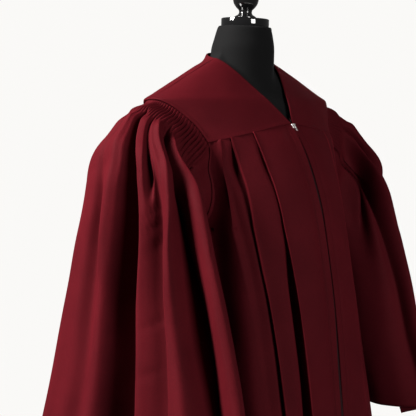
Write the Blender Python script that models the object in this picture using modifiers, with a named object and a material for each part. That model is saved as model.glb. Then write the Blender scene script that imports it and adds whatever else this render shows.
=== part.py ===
"""A graduation gown worn by a limbless dress form on a pole stand, at real size.

Metres, +Z up. The origin is on the floor, under the middle of the pole. The gown's front faces -Y and the
wearer's left side is +X. Cloth is built as thin walls through sections worked out from the sizes below.
"""

import math

import bmesh
import bpy
import numpy as np
from mathutils import Matrix, Vector

MM = 0.001
SEAM_GAP = 0.3 * MM
SEAM_DROP = 1.3 * MM
PANEL_TUCK = 1.6 * MM

CLOTH = 1.2 * MM
YOKE_CLOTH = 2.0 * MM
SLEEVE_CLOTH = 1.2 * MM

NECK_POINT_HEIGHT = 1.440
NECK_POINT_X = 0.078
NECK_BACK_HEIGHT = 1.459
SHOULDER_HEIGHT = 1.360
UNDERARM_HEIGHT = 1.125
HEM_HEIGHT = 0.200
V_HEIGHT = 1.314
YOKE_BACK_HEIGHT = 1.306
ZIP_HALF_GAP = 2.2 * MM
ZIP_END_HEIGHT = 0.420
CUFF_HEIGHT = 0.720

# The worn gown without its folds. Front and back are measured from the plane y = 0, and squareness is the
# power of the ring's outline: 2 is an ellipse.
RING_COLUMNS = ("height", "half_width", "front", "back", "side_y", "squareness")
GOWN_RINGS = (
    (0.200, 0.335, 0.287, 0.290, 0.000, 2.2),
    (0.450, 0.274, 0.254, 0.250, 0.000, 2.3),
    (0.600, 0.233, 0.237, 0.227, 0.000, 2.4),
    (0.720, 0.203, 0.224, 0.207, 0.002, 2.45),
    (0.850, 0.184, 0.213, 0.187, 0.005, 2.45),
    (0.980, 0.176, 0.200, 0.168, 0.009, 2.4),
    (1.070, 0.174, 0.187, 0.156, 0.012, 2.3),
    (1.125, 0.175, 0.178, 0.148, 0.014, 2.2),
    (1.155, 0.179, 0.172, 0.145, 0.015, 2.15),
    (1.200, 0.188, 0.159, 0.142, 0.017, 2.1),
    (1.245, 0.200, 0.142, 0.138, 0.019, 2.0),
    (1.284, 0.213, 0.122, 0.133, 0.020, 2.0),
    (1.314, 0.224, 0.1025, 0.128, 0.021, 2.0),
    (1.330, 0.233, 0.0920, 0.125, 0.022, 2.0),
    (1.360, 0.242, 0.0700, 0.119, 0.022, 2.0),
    (1.372, 0.2190, 0.0590, 0.116, 0.022, 2.0),
    (1.385, 0.1908, 0.0480, 0.113, 0.021, 2.0),
    (1.410, 0.1395, 0.0268, 0.108, 0.021, 2.0),
    (1.425, 0.1088, 0.0125, 0.104, 0.020, 2.0),
    (1.440, 0.0780, 0.0000, 0.099, 0.020, 2.0),
    (1.462, 0.0640, -0.0050, 0.089, 0.020, 2.0),
    (1.480, 0.0560, -0.0060, 0.081, 0.020, 2.0),
)

# The dress form inside it: the covered torso from its flat underside to the top of its neck.
FORM_RINGS = (
    (0.765, 0.148, 0.108, 0.118, 0.000, 2.0),
    (0.850, 0.156, 0.112, 0.126, 0.000, 2.0),
    (0.960, 0.138, 0.104, 0.104, 0.000, 2.0),
    (1.030, 0.124, 0.106, 0.088, 0.002, 2.0),
    (1.100, 0.136, 0.130, 0.100, 0.005, 2.0),
    (1.160, 0.150, 0.146, 0.116, 0.009, 2.0),
    (1.200, 0.158, 0.141, 0.122, 0.012, 2.0),
    (1.245, 0.170, 0.124, 0.122, 0.016, 2.0),
    (1.290, 0.184, 0.099, 0.117, 0.019, 2.0),
    (1.330, 0.197, 0.078, 0.111, 0.021, 2.0),
    (1.352, 0.204, 0.063, 0.107, 0.021, 2.0),
    (1.370, 0.201, 0.050, 0.103, 0.021, 2.0),
    (1.385, 0.1850, 0.041, 0.100, 0.021, 2.0),
    (1.410, 0.1340, 0.019, 0.093, 0.021, 2.0),
    (1.425, 0.1035, 0.005, 0.086, 0.020, 2.0),
    (1.440, 0.0700, -0.006, 0.078, 0.020, 2.0),
    (1.462, 0.0500, -0.010, 0.065, 0.020, 2.0),
    (1.503, 0.0400, -0.010, 0.045, 0.0135, 2.0),
)
NECK_COLUMNS = ("height", "radius", "centre_y")
NECK_RINGS = (
    (1.300, 0.0450, 0.0200),
    (1.380, 0.0580, 0.0205),
    (1.420, 0.0612, 0.0210),
    (1.457, 0.0620, 0.0200),
    (1.485, 0.0565, 0.0165),
    (1.503, 0.0520, 0.0135),
)
FORM_POINTS = 28
NECK_TILT = math.radians(3.5)
NECK_BLEND = 12

# The armhole on the gown's rings: half its height, and how far round from the side it reaches.
ARMHOLE_MIDDLE = (SHOULDER_HEIGHT + UNDERARM_HEIGHT) / 2
ARMHOLE_HALF = (SHOULDER_HEIGHT - UNDERARM_HEIGHT) / 2
ARMHOLE_TURN_FRONT = math.radians(33)
ARMHOLE_TURN_BACK = math.radians(38)
ARMHOLE_TOP_POWER = 0.72
ARMHOLE_SIDE_POWER = 0.75
CORNER_AROUND = math.radians(77)
YOKE_CORNER_HEIGHT = ARMHOLE_MIDDLE + ARMHOLE_HALF * math.cos(CORNER_AROUND) ** ARMHOLE_TOP_POWER
FRONT_YOKE_ROWS = 8
BACK_YOKE_ARMHOLE = 5
BACK_YOKE_SEAM = 7
BACK_CORNER_SHARE = 0.36
SHOULDER_SEAM_TURN = 0.0030
PANEL_AROUND = (77, 91, 106, 123, 140, 159, 180)
PANEL_HEIGHTS = (1.060, 0.960, 0.820, 0.620, 0.400, 0.200)

# The sleeve's tube where it hangs freely, without its folds.
SLEEVE_COLUMNS = ("height", "centre_x", "half_width", "half_depth", "centre_y")
SLEEVE_RINGS = (
    (0.720, 0.3010, 0.086, 0.2700, 0.018),
    (0.800, 0.2900, 0.084, 0.2530, 0.019),
    (0.870, 0.2825, 0.083, 0.2355, 0.020),
    (0.970, 0.2740, 0.080, 0.2105, 0.020),
    (1.050, 0.2690, 0.078, 0.1870, 0.020),
    (1.120, 0.2680, 0.076, 0.1635, 0.020),
    (1.180, 0.2695, 0.073, 0.1410, 0.020),
    (1.220, 0.2690, 0.071, 0.1255, 0.020),
    (1.260, 0.2660, 0.066, 0.1110, 0.020),
)
HEAD_END_MIDDLE = 1.150
HEAD_END_SWING = 0.100
HEAD_ROWS = (0.0, 0.07, 0.17, 0.30, 0.50, 0.75, 1.0)
TUBE_ROWS = (0.30, 0.64, 1.0)

# The gathered head: small cartridge pleats from yoke corner to yoke corner over the shoulder.
PLEATS = 46
UNDERARM_POINTS = 7
PLEATED_TURN = math.radians(81)
SPREAD_TURN = math.radians(135)
PLEAT_DEPTH = 2.1 * MM

# The sleeve's large folds. Angles are degrees round the tube: 0 outside, 90 front, 180 inside, 270 back.
# Start and full are shares of the way down: 0 the armhole, 1 the end of the head, 2 the cuff.
FOLD_COLUMNS = ("angle_top", "angle_cuff", "half_angle", "depth", "start", "full")
SLEEVE_FOLDS = (
    (62, 63, 7.5, 0.042, 0.16, 0.80),
    (18, 5, 8.5, 0.042, 0.12, 0.80),
    (-20, -24, 7.0, 0.014, 0.30, 1.10),
    (-58, -62, 8.0, 0.034, 0.20, 0.90),
    (-97, -104, 11.0, 0.022, 0.30, 1.10),
    (-140, -142, 10.0, 0.012, 0.50, 1.40),
    (106, 112, 11.0, 0.016, 0.40, 1.20),
    (150, 147, 10.0, 0.010, 0.50, 1.40),
    (33, 29, 6.0, 0.010, 0.20, 1.20),
)

# Knife pleats on each front, from the zip outwards. Under is how far the cloth turns under, and the x and
# layer columns are at the heights in KNIFE_HEIGHTS, from the hem up.
KNIFE_HEIGHTS = np.array([0.200, 0.800, 1.160, 1.300])
KNIFE_UNDER = (0.030, 0.012)
KNIFE_PLEATS = (
    {"x": (0.100, 0.0775, 0.0880, 0.1018), "layer": (0.012, 0.0060, 0.0036, 0.0018)},
    {"x": (0.160, 0.1195, 0.1298, 0.1450), "layer": (0.012, 0.0052, 0.0032, 0.0018)},
)
PLACKET_WIDTH = 0.0185
FRONT_OUTER_POINTS = 9
BACK_POINTS = 41
BACK_FOLDS = 7

# Zip at the centre front.
TAPE_CLOTH = 1.0 * MM
TAPE_WIDTH = 0.013
TAPE_TOP_HEIGHT = 1.3255
TAPE_V_SLOPE = 0.52
TAPE_BEHIND_YOKE = 0.9 * MM
SLIDER_HEIGHT = 1.3090
SLIDER_SIZE = (0.0086, 0.0016, 0.0095)
PIN_RADIUS = 0.65 * MM
PIN_LIFT = 2.0 * MM
PIN_UP = 2.2 * MM
PULL_LENGTH = 0.0135

# Stand and finial of the dress form.
POLE_RADIUS = 0.0125
POLE_BOTTOM = 0.0142
POLE_TOP = 0.7648
BASE_RADIUS = 0.170
CAP_RADIUS = 0.0465
CAP_THICKNESS = 0.0155

# Radius and height of the finial's turned outline, from its foot to the top of its ball.
FINIAL_PROFILE = (
    (0.0000, 0.0000),
    (0.0211, 0.0000),
    (0.0216, 0.0020),
    (0.0195, 0.0045),
    (0.0142, 0.0078),
    (0.0124, 0.0120),
    (0.0130, 0.0155),
    (0.0185, 0.0215),
    (0.0236, 0.0300),
    (0.0252, 0.0390),
    (0.0236, 0.0480),
    (0.0185, 0.0565),
    (0.0100, 0.0622),
    (0.0000, 0.0640),
)


def column(table, names, name):
    return np.array([row[names.index(name)] for row in table], float)


def smooth_curve(xs, ys, at):
    """A smooth curve through a table's rows that never overshoots them."""
    xs = np.asarray(xs, float)
    ys = np.asarray(ys, float)
    at = np.clip(np.asarray(at, float), xs[0], xs[-1])
    step = np.diff(xs)
    slope = np.diff(ys) / step
    turn = np.zeros(len(ys))
    turn[0] = slope[0]
    turn[-1] = slope[-1]
    both = slope[:-1] * slope[1:]
    total = slope[:-1] + slope[1:]
    turn[1:-1] = np.where(both > 0, 2 * both / np.where(both > 0, total, 1), 0)
    i = np.clip(np.searchsorted(xs, at) - 1, 0, len(xs) - 2)
    t = (at - xs[i]) / step[i]
    rise = (3 - 2 * t) * t * t
    start = t * (1 - t) ** 2 * step[i] * turn[i]
    end = t * t * (t - 1) * step[i] * turn[i + 1]
    return ys[i] * (1 - rise) + ys[i + 1] * rise + start + end


def ease(low, high, value):
    """0 at low, 1 at high, and a smooth step between."""
    t = np.clip((np.asarray(value, float) - low) / (high - low), 0, 1)
    return t * t * (3 - 2 * t)


def ring_value(rings, name, height):
    heights = column(rings, RING_COLUMNS, "height")
    return smooth_curve(heights, column(rings, RING_COLUMNS, name), height)


def ring_point(rings, angle, height):
    """The point of a ring at an angle: 0 is the left side, 90 degrees the front, -90 the back."""
    angle, height = np.broadcast_arrays(np.asarray(angle, float), np.asarray(height, float))
    wide = ring_value(rings, "half_width", height)
    side = ring_value(rings, "side_y", height)
    front = ring_value(rings, "front", height) + side
    back = ring_value(rings, "back", height) - side
    power = 2 / ring_value(rings, "squareness", height)
    cosine = np.sign(np.cos(angle)) * np.abs(np.cos(angle)) ** power
    sine = np.sign(np.sin(angle)) * np.abs(np.sin(angle)) ** power
    deep = np.where(sine > 0, front, back)
    return np.stack([wide * cosine, side - deep * sine, height], axis=-1)


def unit(vectors):
    return vectors / np.maximum(np.linalg.norm(vectors, axis=-1, keepdims=True), 1e-12)


def ring_normal(rings, angle, height):
    """The outward normal of the ringed surface."""
    turn = 1e-3
    rise = 1e-4
    angle = np.asarray(angle, float)
    height = np.asarray(height, float)
    along = ring_point(rings, angle + turn, height) - ring_point(rings, angle - turn, height)
    up = ring_point(rings, angle, height + rise) - ring_point(rings, angle, height - rise)
    return unit(np.cross(up, along))


def angle_at(x, height):
    """The angle on the gown's front at which its ring has that x."""
    share = np.clip(x / ring_value(GOWN_RINGS, "half_width", height), 0, 1)
    return np.arccos(share ** (ring_value(GOWN_RINGS, "squareness", height) / 2))


def armhole_turn(height, turn):
    """How far round from the side the armhole's edge is at a height."""
    share = np.clip((np.asarray(height, float) - ARMHOLE_MIDDLE) / ARMHOLE_HALF, -1, 1)
    cosine = np.where(share > 0, np.abs(share) ** (1 / ARMHOLE_TOP_POWER), share)
    sine = np.sqrt(1 - cosine * cosine)
    return turn * np.where(share > 0, sine**ARMHOLE_SIDE_POWER, sine)


def armhole_place(around):
    """Angle and height of the armhole's edge: 0 is the shoulder, 90 degrees the front, 180 the underarm."""
    cosine = np.cos(around)
    sine = np.sin(around)
    upper = np.maximum(cosine, 0)
    height = ARMHOLE_MIDDLE + ARMHOLE_HALF * np.where(cosine > 0, upper**ARMHOLE_TOP_POWER, cosine)
    size = np.where(cosine > 0, np.abs(sine) ** ARMHOLE_SIDE_POWER, np.abs(sine))
    turn = np.where(sine > 0, ARMHOLE_TURN_FRONT, -ARMHOLE_TURN_BACK) * size
    return turn, height


def armhole_knots():
    """The angles at which the pieces round the armhole have their points."""
    front_yoke = np.linspace(0, CORNER_AROUND, FRONT_YOKE_ROWS + 1)
    panel = np.radians(PANEL_AROUND)
    back_yoke = np.linspace(0, CORNER_AROUND, BACK_YOKE_ARMHOLE + 1)
    front = np.concatenate([front_yoke, panel[1:]])
    back = np.concatenate([-panel[::-1], -back_yoke[-2:0:-1]])
    return np.concatenate([back, front])


def armhole_loop(around):
    """Points and normals along the straight lines between the armhole's knots."""
    knots = armhole_knots()
    places = armhole_place(knots)
    points = ring_point(GOWN_RINGS, *places)
    normals = ring_normal(GOWN_RINGS, *places)
    wrapped = (around + math.pi) % (2 * math.pi) - math.pi
    on_points = np.stack([np.interp(wrapped, knots, points[:, i]) for i in range(3)], axis=-1)
    on_normals = np.stack([np.interp(wrapped, knots, normals[:, i]) for i in range(3)], axis=-1)
    return on_points, unit(on_normals)


def corner_x():
    turn = armhole_turn(YOKE_CORNER_HEIGHT, ARMHOLE_TURN_FRONT)
    return float(ring_point(GOWN_RINGS, turn, YOKE_CORNER_HEIGHT)[0])


def seam_height(x):
    """The height of the front yoke's lower seam, which drops towards the armhole."""
    return V_HEIGHT - (V_HEIGHT - YOKE_CORNER_HEIGHT) * np.clip(np.abs(x) / corner_x(), 0, 1) ** 1.3


# Meshes


def new_object(name, mesh, material):
    obj = bpy.data.objects.new(name, mesh)
    GOWN.objects.link(obj)
    obj.data.materials.append(material)
    return obj


def shade(obj, degrees=50):
    obj.data.shade_smooth()
    obj.data.set_sharp_from_angle(angle=math.radians(degrees))


def finish_mesh(name, mesh, material, degrees=50):
    data = bpy.data.meshes.new(name)
    mesh.to_mesh(data)
    mesh.free()
    obj = new_object(name, data, material)
    shade(obj, degrees)
    return obj


def wall(name, outer, inner, around, material, flip=False):
    """A closed wall between two grids of points, which goes all round if around is true."""
    rows, columns = outer.shape[:2]
    mesh = bmesh.new()
    out = [[mesh.verts.new(p) for p in row] for row in outer]
    ins = [[mesh.verts.new(p) for p in row] for row in inner]

    def face(a, b, c):
        mesh.faces.new((a, c, b) if flip else (a, b, c))

    def quad(a, b, c, d):
        face(a, b, c)
        face(a, c, d)

    last = columns if around else columns - 1
    for i in range(rows - 1):
        for j in range(last):
            k = (j + 1) % columns
            quad(out[i][j], out[i][k], out[i + 1][k], out[i + 1][j])
            face(ins[i][j], ins[i + 1][k], ins[i][k])
            face(ins[i][j], ins[i + 1][j], ins[i + 1][k])
    for j in range(last):
        k = (j + 1) % columns
        quad(ins[0][j], ins[0][k], out[0][k], out[0][j])
        quad(out[-1][j], out[-1][k], ins[-1][k], ins[-1][j])
    if not around:
        for i in range(rows - 1):
            quad(out[i][0], out[i + 1][0], ins[i + 1][0], ins[i][0])
            quad(ins[i][-1], ins[i + 1][-1], out[i + 1][-1], out[i][-1])
    return finish_mesh(name, mesh, material)


def mirrored(points):
    return points * np.array([-1, 1, 1])


def both_sides(name, outer, inner, around, material, flip):
    """A wall on the left, and the same one mirrored on the right."""
    wall(f"{name}_left", outer, inner, around, material, flip)
    wall(f"{name}_right", mirrored(outer), mirrored(inner), around, material, not flip)


def loft(name, rings, material):
    """A solid through closed rings of points, with flat ends."""
    mesh = bmesh.new()
    verts = [[mesh.verts.new(p) for p in ring] for ring in rings]
    count = len(verts[0])
    for low, high in zip(verts[:-1], verts[1:]):
        for j in range(count):
            k = (j + 1) % count
            mesh.faces.new((low[j], high[j], high[k], low[k]))
    mesh.faces.new(verts[0])
    mesh.faces.new(verts[-1][::-1])
    return finish_mesh(name, mesh, material)


def lathe(name, profile, material, place, steps=28):
    """A solid turned from a profile of radius and height that starts and ends on its axis."""
    mesh = bpy.data.meshes.new(name)
    verts = [(radius, 0.0, height) for radius, height in profile]
    mesh.from_pydata(verts, [(i, i + 1) for i in range(len(verts) - 1)], [])
    obj = new_object(name, mesh, material)
    screw = obj.modifiers.new("turn", "SCREW")
    screw.axis = "Z"
    screw.steps = steps
    screw.render_steps = steps
    screw.use_merge_vertices = True
    screw.merge_threshold = 0.00001
    screw.use_smooth_shade = True
    screw.use_normal_flip = True
    obj.matrix_world = place
    return obj


def box(name, size, centre, place, material, bevel=0.0):
    """A box in a local frame, with small bevels if asked for."""
    mesh = bmesh.new()
    bmesh.ops.create_cube(mesh, size=1.0)
    bmesh.ops.scale(mesh, vec=size, verts=mesh.verts)
    bmesh.ops.translate(mesh, vec=centre, verts=mesh.verts)
    obj = finish_mesh(name, mesh, material, 30)
    obj.matrix_world = place
    if bevel:
        rounding = obj.modifiers.new("rounding", "BEVEL")
        rounding.width = bevel
        rounding.segments = 2
    return obj


def rod(name, radius, length, centre, place, material, sides=16):
    """A cylinder along the local x axis."""
    mesh = bmesh.new()
    bmesh.ops.create_cone(
        mesh, cap_ends=True, segments=sides, radius1=radius, radius2=radius, depth=length,
        matrix=Matrix.Rotation(math.pi / 2, 4, "Y"),
    )
    bmesh.ops.translate(mesh, vec=centre, verts=mesh.verts)
    obj = finish_mesh(name, mesh, material, 40)
    obj.matrix_world = place
    return obj


def combine(obj, other, operation):
    """Join another shape to a solid, or cut it away; the other shape is hidden."""
    modifier = obj.modifiers.new(other.name, "BOOLEAN")
    modifier.operation = operation
    modifier.solver = "EXACT"
    modifier.object = other
    other.hide_render = True
    other.display_type = "WIRE"


# Yokes


def pair(angle, height):
    return np.stack(np.broadcast_arrays(np.asarray(angle, float), np.asarray(height, float)), axis=-1)


def patch(first_edge, last_edge, start_side, end_side, along, across):
    """Angles and heights inside four edge curves, each a function of a share from 0 to 1."""
    u = along[:, None, None]
    v = across[None, :, None]
    lengthways = first_edge(along)[:, None, :] * (1 - v) + last_edge(along)[:, None, :] * v
    crossways = start_side(across)[None, :, :] * (1 - u) + end_side(across)[None, :, :] * u
    ends = np.array([0.0, 1.0])
    corners = first_edge(ends)[:, None, :] * (1 - v) + last_edge(ends)[:, None, :] * v
    return lengthways + crossways - (corners[0][None] * (1 - u) + corners[1][None] * u)


def shoulder_edge(share):
    """The shoulder seam, from the neck out to the armhole, kept clear of the ridge line by half the gap."""
    return pair(SHOULDER_SEAM_TURN, NECK_POINT_HEIGHT + (SHOULDER_HEIGHT - NECK_POINT_HEIGHT) * share)


def armhole_edge(share, turn):
    """From the shoulder down to the yoke's corner."""
    angle, height = armhole_place(CORNER_AROUND * share * np.sign(turn))
    return pair(angle + SHOULDER_SEAM_TURN * (1 - share) * np.sign(turn), height)


def front_neck_edge(share):
    """The V neck, straight when seen from the front, with its points evenly turned round the neck."""
    way = np.linspace(0, 1, 500)
    height = NECK_POINT_HEIGHT + (V_HEIGHT - NECK_POINT_HEIGHT) * way
    x = NECK_POINT_X + (ZIP_HALF_GAP - NECK_POINT_X) * way
    turn = np.maximum.accumulate(np.maximum(angle_at(x, height), SHOULDER_SEAM_TURN))
    even = turn[0] + (turn[-1] - turn[0]) * share**0.85
    return pair(even, np.interp(even, turn, height))


def front_seam_edge(share):
    x = ZIP_HALF_GAP + (corner_x() - ZIP_HALF_GAP) * share
    height = seam_height(x)
    return pair(angle_at(x, height), height)


def front_armhole_edge(share):
    return armhole_edge(share, ARMHOLE_TURN_FRONT)


def front_yoke_grid(along, across):
    return patch(front_neck_edge, front_armhole_edge, shoulder_edge, front_seam_edge, along, across)


def back_neck_edge(share):
    height = NECK_POINT_HEIGHT + (NECK_BACK_HEIGHT - NECK_POINT_HEIGHT) * np.sin(share * math.pi / 2)
    return pair(-(SHOULDER_SEAM_TURN + (math.pi / 2 - SHOULDER_SEAM_TURN) * share), height)


def back_lower_edge(share):
    """Down the armhole to the corner, and then along the back yoke's lower seam."""
    on_armhole = armhole_edge(np.clip(share / BACK_CORNER_SHARE, 0, 1), -ARMHOLE_TURN_BACK)
    seam = np.clip((share - BACK_CORNER_SHARE) / (1 - BACK_CORNER_SHARE), 0, 1)
    corner = armhole_edge(np.array([1.0]), -ARMHOLE_TURN_BACK)[0]
    angle = corner[0] + (-math.pi / 2 - corner[0]) * seam
    return np.where((share > BACK_CORNER_SHARE)[:, None], pair(angle, back_seam_height(angle)), on_armhole)


def back_seam_height(angle):
    """The height of the back yoke's lower seam at an angle."""
    corner = armhole_turn(YOKE_CORNER_HEIGHT, -ARMHOLE_TURN_BACK)
    share = np.clip((angle - corner) / (-math.pi / 2 - corner), 0, 1)
    return YOKE_CORNER_HEIGHT + (YOKE_BACK_HEIGHT - YOKE_CORNER_HEIGHT) * np.sin(share * math.pi / 2)


def back_shoulder_edge(share):
    return shoulder_edge(share) * np.array([-1, 1])


def back_centre_line(share):
    return pair(-math.pi / 2, NECK_BACK_HEIGHT + (YOKE_BACK_HEIGHT - NECK_BACK_HEIGHT) * share)


def back_yoke_grid(along, across):
    return patch(back_neck_edge, back_lower_edge, back_shoulder_edge, back_centre_line, along, across)


def offset_walls(grid, thickness):
    points = ring_point(GOWN_RINGS, grid[..., 0], grid[..., 1])
    normals = ring_normal(GOWN_RINGS, grid[..., 0], grid[..., 1])
    return points + normals * thickness / 2, points - normals * thickness / 2


def build_yokes(material):
    across = np.linspace(0, 1, 9)
    # The armhole runs along the patch's last edge, so its rows sit at the shared knots.
    along = np.linspace(0, 1, FRONT_YOKE_ROWS + 1)
    outer, inner = offset_walls(front_yoke_grid(along, across), YOKE_CLOTH)
    both_sides("yoke_front", outer, inner, False, material, flip=True)
    first = np.linspace(0, BACK_CORNER_SHARE, BACK_YOKE_ARMHOLE + 1)
    last = np.linspace(BACK_CORNER_SHARE, 1, BACK_YOKE_SEAM)
    across = np.linspace(0, 1, 8)
    outer, inner = offset_walls(back_yoke_grid(np.concatenate([first, last[1:]]), across), YOKE_CLOTH)
    outer = np.concatenate([outer, mirrored(outer)[-2::-1]])
    inner = np.concatenate([inner, mirrored(inner)[-2::-1]])
    wall("yoke_back", outer, inner, False, material)


# Front and back panels


def offsets(points, down, closed, limit=1.9):
    """Directions square to rows of points and to the way the cloth hangs, longer at corners."""
    before = unit(points - np.roll(points, 1, axis=1))
    after = unit(np.roll(points, -1, axis=1) - points)
    if not closed:
        before[:, 0] = after[:, 0]
        after[:, -1] = before[:, -1]
    middle = unit(np.cross(before, down)) + unit(np.cross(after, down))
    length = np.linalg.norm(middle, axis=-1, keepdims=True)
    return unit(middle) * np.minimum(2 / np.maximum(length, 1e-9), limit)


def down_share(height):
    return np.clip((V_HEIGHT - height) / (V_HEIGHT - HEM_HEIGHT), 0, 1)


def panel_edge_heights():
    """The heights of a panel's rows at its outer edge: round the armhole, then down the side."""
    armhole = armhole_place(np.radians(PANEL_AROUND))[1]
    armhole[0] -= SEAM_DROP
    return np.concatenate([armhole, PANEL_HEIGHTS])


def panel_edge_turn(height, turn):
    """How far round from the side a panel's outer edge is."""
    gap = SEAM_GAP / 2 / ring_value(GOWN_RINGS, "half_width", height) * 1.6
    on_armhole = armhole_turn(height, abs(turn)) if height > UNDERARM_HEIGHT else 0
    return max(float(on_armhole), float(gap)) * np.sign(turn)


def front_section(height):
    """x and outward offset from the zip to the last knife pleat, at one height below the seam."""
    fall = float(down_share(height))
    valley = -1.3 * MM * float(ease(0.0, 0.06, fall))
    points = [
        (0.0, 0.0),
        (PLACKET_WIDTH - 4 * MM, 0.3 * MM),
        (PLACKET_WIDTH, valley),
        (PLACKET_WIDTH + 5 * MM, 0.3 * MM),
    ]
    for pleat in KNIFE_PLEATS:
        edge = float(smooth_curve(KNIFE_HEIGHTS, pleat["x"], height))
        layer = float(smooth_curve(KNIFE_HEIGHTS, pleat["layer"], height))
        under = KNIFE_UNDER[1] + (KNIFE_UNDER[0] - KNIFE_UNDER[1]) * fall
        points += [
            (edge - under - 12 * MM, 0.9 * layer),
            (edge - 0.4 * under, 1.9 * layer),
            (edge, 2.0 * layer),
            (edge, 1.0 * layer),
            (edge - under, 0.95 * layer),
            (edge - under, 0.0),
            (edge + 4 * MM, 0.0),
        ]
    return np.array(points)


def front_outer_fold(share, height):
    """The soft folds between the last knife pleat and the side seam."""
    fall = down_share(height)
    first = 9 * MM * ease(0.01, 0.14, fall) + 16 * MM * ease(0.4, 1.0, fall)
    later = 3 * MM * ease(0.1, 0.3, fall) + 22 * MM * ease(0.52, 1.0, fall)
    bump = np.exp(-(((share - 0.30) / 0.16) ** 2))
    waves = np.sin((share - 0.48) * 2 * math.pi * 1.5) * ease(0.48, 0.65, share)
    return first * bump + later * waves


def seam_tuck(height):
    """How far a panel's cloth lies in under the yoke's seam at a height."""
    return PANEL_TUCK * ease(0.035, 0.0, down_share(height))


def panel_middle(angle, height, lift):
    """Points of a panel's cloth, moved out level from the rings and tucked under the yoke's seam."""
    normal = ring_normal(GOWN_RINGS, angle, height) * np.array([1, 1, 0])
    lift = lift - seam_tuck(height)
    return ring_point(GOWN_RINGS, angle, height) + unit(normal) * lift[:, None]


def front_panel():
    """The middle of the left front's cloth, row by row from the yoke seam to the hem."""
    rows = []
    edge_heights = panel_edge_heights()
    steps = np.linspace(0, 1, FRONT_OUTER_POINTS + 1)[1:]
    for edge_height in edge_heights:
        share = (edge_height - HEM_HEIGHT) / (edge_heights[0] - HEM_HEIGHT)
        section = front_section(HEM_HEIGHT + (V_HEIGHT - HEM_HEIGHT) * share)
        x = section[:, 0]
        top = seam_height(x) - SEAM_DROP
        height = HEM_HEIGHT + (top - HEM_HEIGHT) * share
        open_share = ease(ZIP_END_HEIGHT - 0.08, ZIP_END_HEIGHT, height)
        half_gap = SEAM_GAP / 2 + (ZIP_HALF_GAP - SEAM_GAP / 2) * open_share
        x = x + half_gap * ease(PLACKET_WIDTH, 0, x)
        angle = angle_at(x, height)
        edge = panel_edge_turn(edge_height, ARMHOLE_TURN_FRONT)
        outer_angle = angle[-1] + (edge - angle[-1]) * steps
        outer_height = height[-1] + (edge_height - height[-1]) * steps
        angle = np.concatenate([angle, outer_angle])
        height = np.concatenate([height, outer_height])
        turned = 1 - outer_angle / (angle[len(x) - 1] + 1e-9)
        outer_lift = front_outer_fold(turned, outer_height) * ease(1.0, 0.9, steps)
        rows.append(panel_middle(angle, height, np.concatenate([section[:, 1], outer_lift])))
    return np.array(rows)


def back_fold(angle, share, height):
    """The back's soft gathers, which run straight down and are flat at the panel's side edges."""
    fall = down_share(height)
    depth = 3.0 * MM + 8 * MM * ease(0.03, 0.30, fall) + 18 * MM * ease(0.35, 1.0, fall)
    round_back = -angle / math.pi
    phase = 2 * math.pi * BACK_FOLDS * (round_back + 0.012 * np.sin(round_back * 2 * math.pi * 2))
    edges = ease(0.0, 0.05, share) * ease(1.0, 0.95, share)
    return -depth * (0.5 - 0.5 * np.cos(phase)) * edges


def back_panel():
    rows = []
    edge_heights = panel_edge_heights()
    share_across = np.linspace(0, 1, BACK_POINTS)
    for edge_height in edge_heights:
        share = (edge_height - HEM_HEIGHT) / (edge_heights[0] - HEM_HEIGHT)
        edge = panel_edge_turn(edge_height, -ARMHOLE_TURN_BACK)
        angle = edge + (-math.pi - 2 * edge) * share_across
        near = np.where(angle < -math.pi / 2, -math.pi - angle, angle)
        top = back_seam_height(near) - SEAM_DROP
        full = HEM_HEIGHT + (top - HEM_HEIGHT) * share
        height = np.where(np.abs(near - edge) < 1e-6, edge_height, full)
        rows.append(panel_middle(angle, height, back_fold(angle, share_across, height)))
    return np.array(rows)


def walls_of(middle, down, closed, thickness, sign=1):
    direction = offsets(middle, down, closed) * sign
    return middle + direction * thickness / 2, middle - direction * thickness / 2


def build_panels(material):
    down = np.array([0.0, 0.0, -1.0])
    outer, inner = walls_of(front_panel(), down, False, CLOTH, -1)
    both_sides("front", outer, inner, False, material, flip=True)
    outer, inner = walls_of(back_panel(), down, False, CLOTH, -1)
    wall("back", outer, inner, False, material, flip=True)


# Sleeves


def sleeve_value(name, height):
    heights = column(SLEEVE_RINGS, SLEEVE_COLUMNS, "height")
    return smooth_curve(heights, column(SLEEVE_RINGS, SLEEVE_COLUMNS, name), height)


def tube_point(angle, height):
    """The left sleeve's hanging tube: 0 is its outer side, 90 degrees its front."""
    x = sleeve_value("centre_x", height) + sleeve_value("half_width", height) * np.cos(angle)
    y = sleeve_value("centre_y", height) - sleeve_value("half_depth", height) * np.sin(angle)
    return np.stack([x, y, height], axis=-1)


def sleeve_turns():
    """Angles at the armhole and down the tube, and each point's place in the small pleats."""
    pleated = np.linspace(-1, 1, 2 * PLEATS + 1)
    plain = np.linspace(0, 1, UNDERARM_POINTS + 2)[1:-1]
    plain_at_armhole = PLEATED_TURN + plain * 2 * (math.pi - PLEATED_TURN)
    plain_on_tube = SPREAD_TURN + plain * 2 * (math.pi - SPREAD_TURN)
    at_armhole = np.concatenate([pleated * PLEATED_TURN, plain_at_armhole])
    on_tube = np.concatenate([pleated * SPREAD_TURN, plain_on_tube])
    side = np.where(np.arange(2 * PLEATS + 1) % 2 == 1, 1.0, -1.0)
    return at_armhole, on_tube, np.concatenate([side, np.zeros(UNDERARM_POINTS)])


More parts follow.
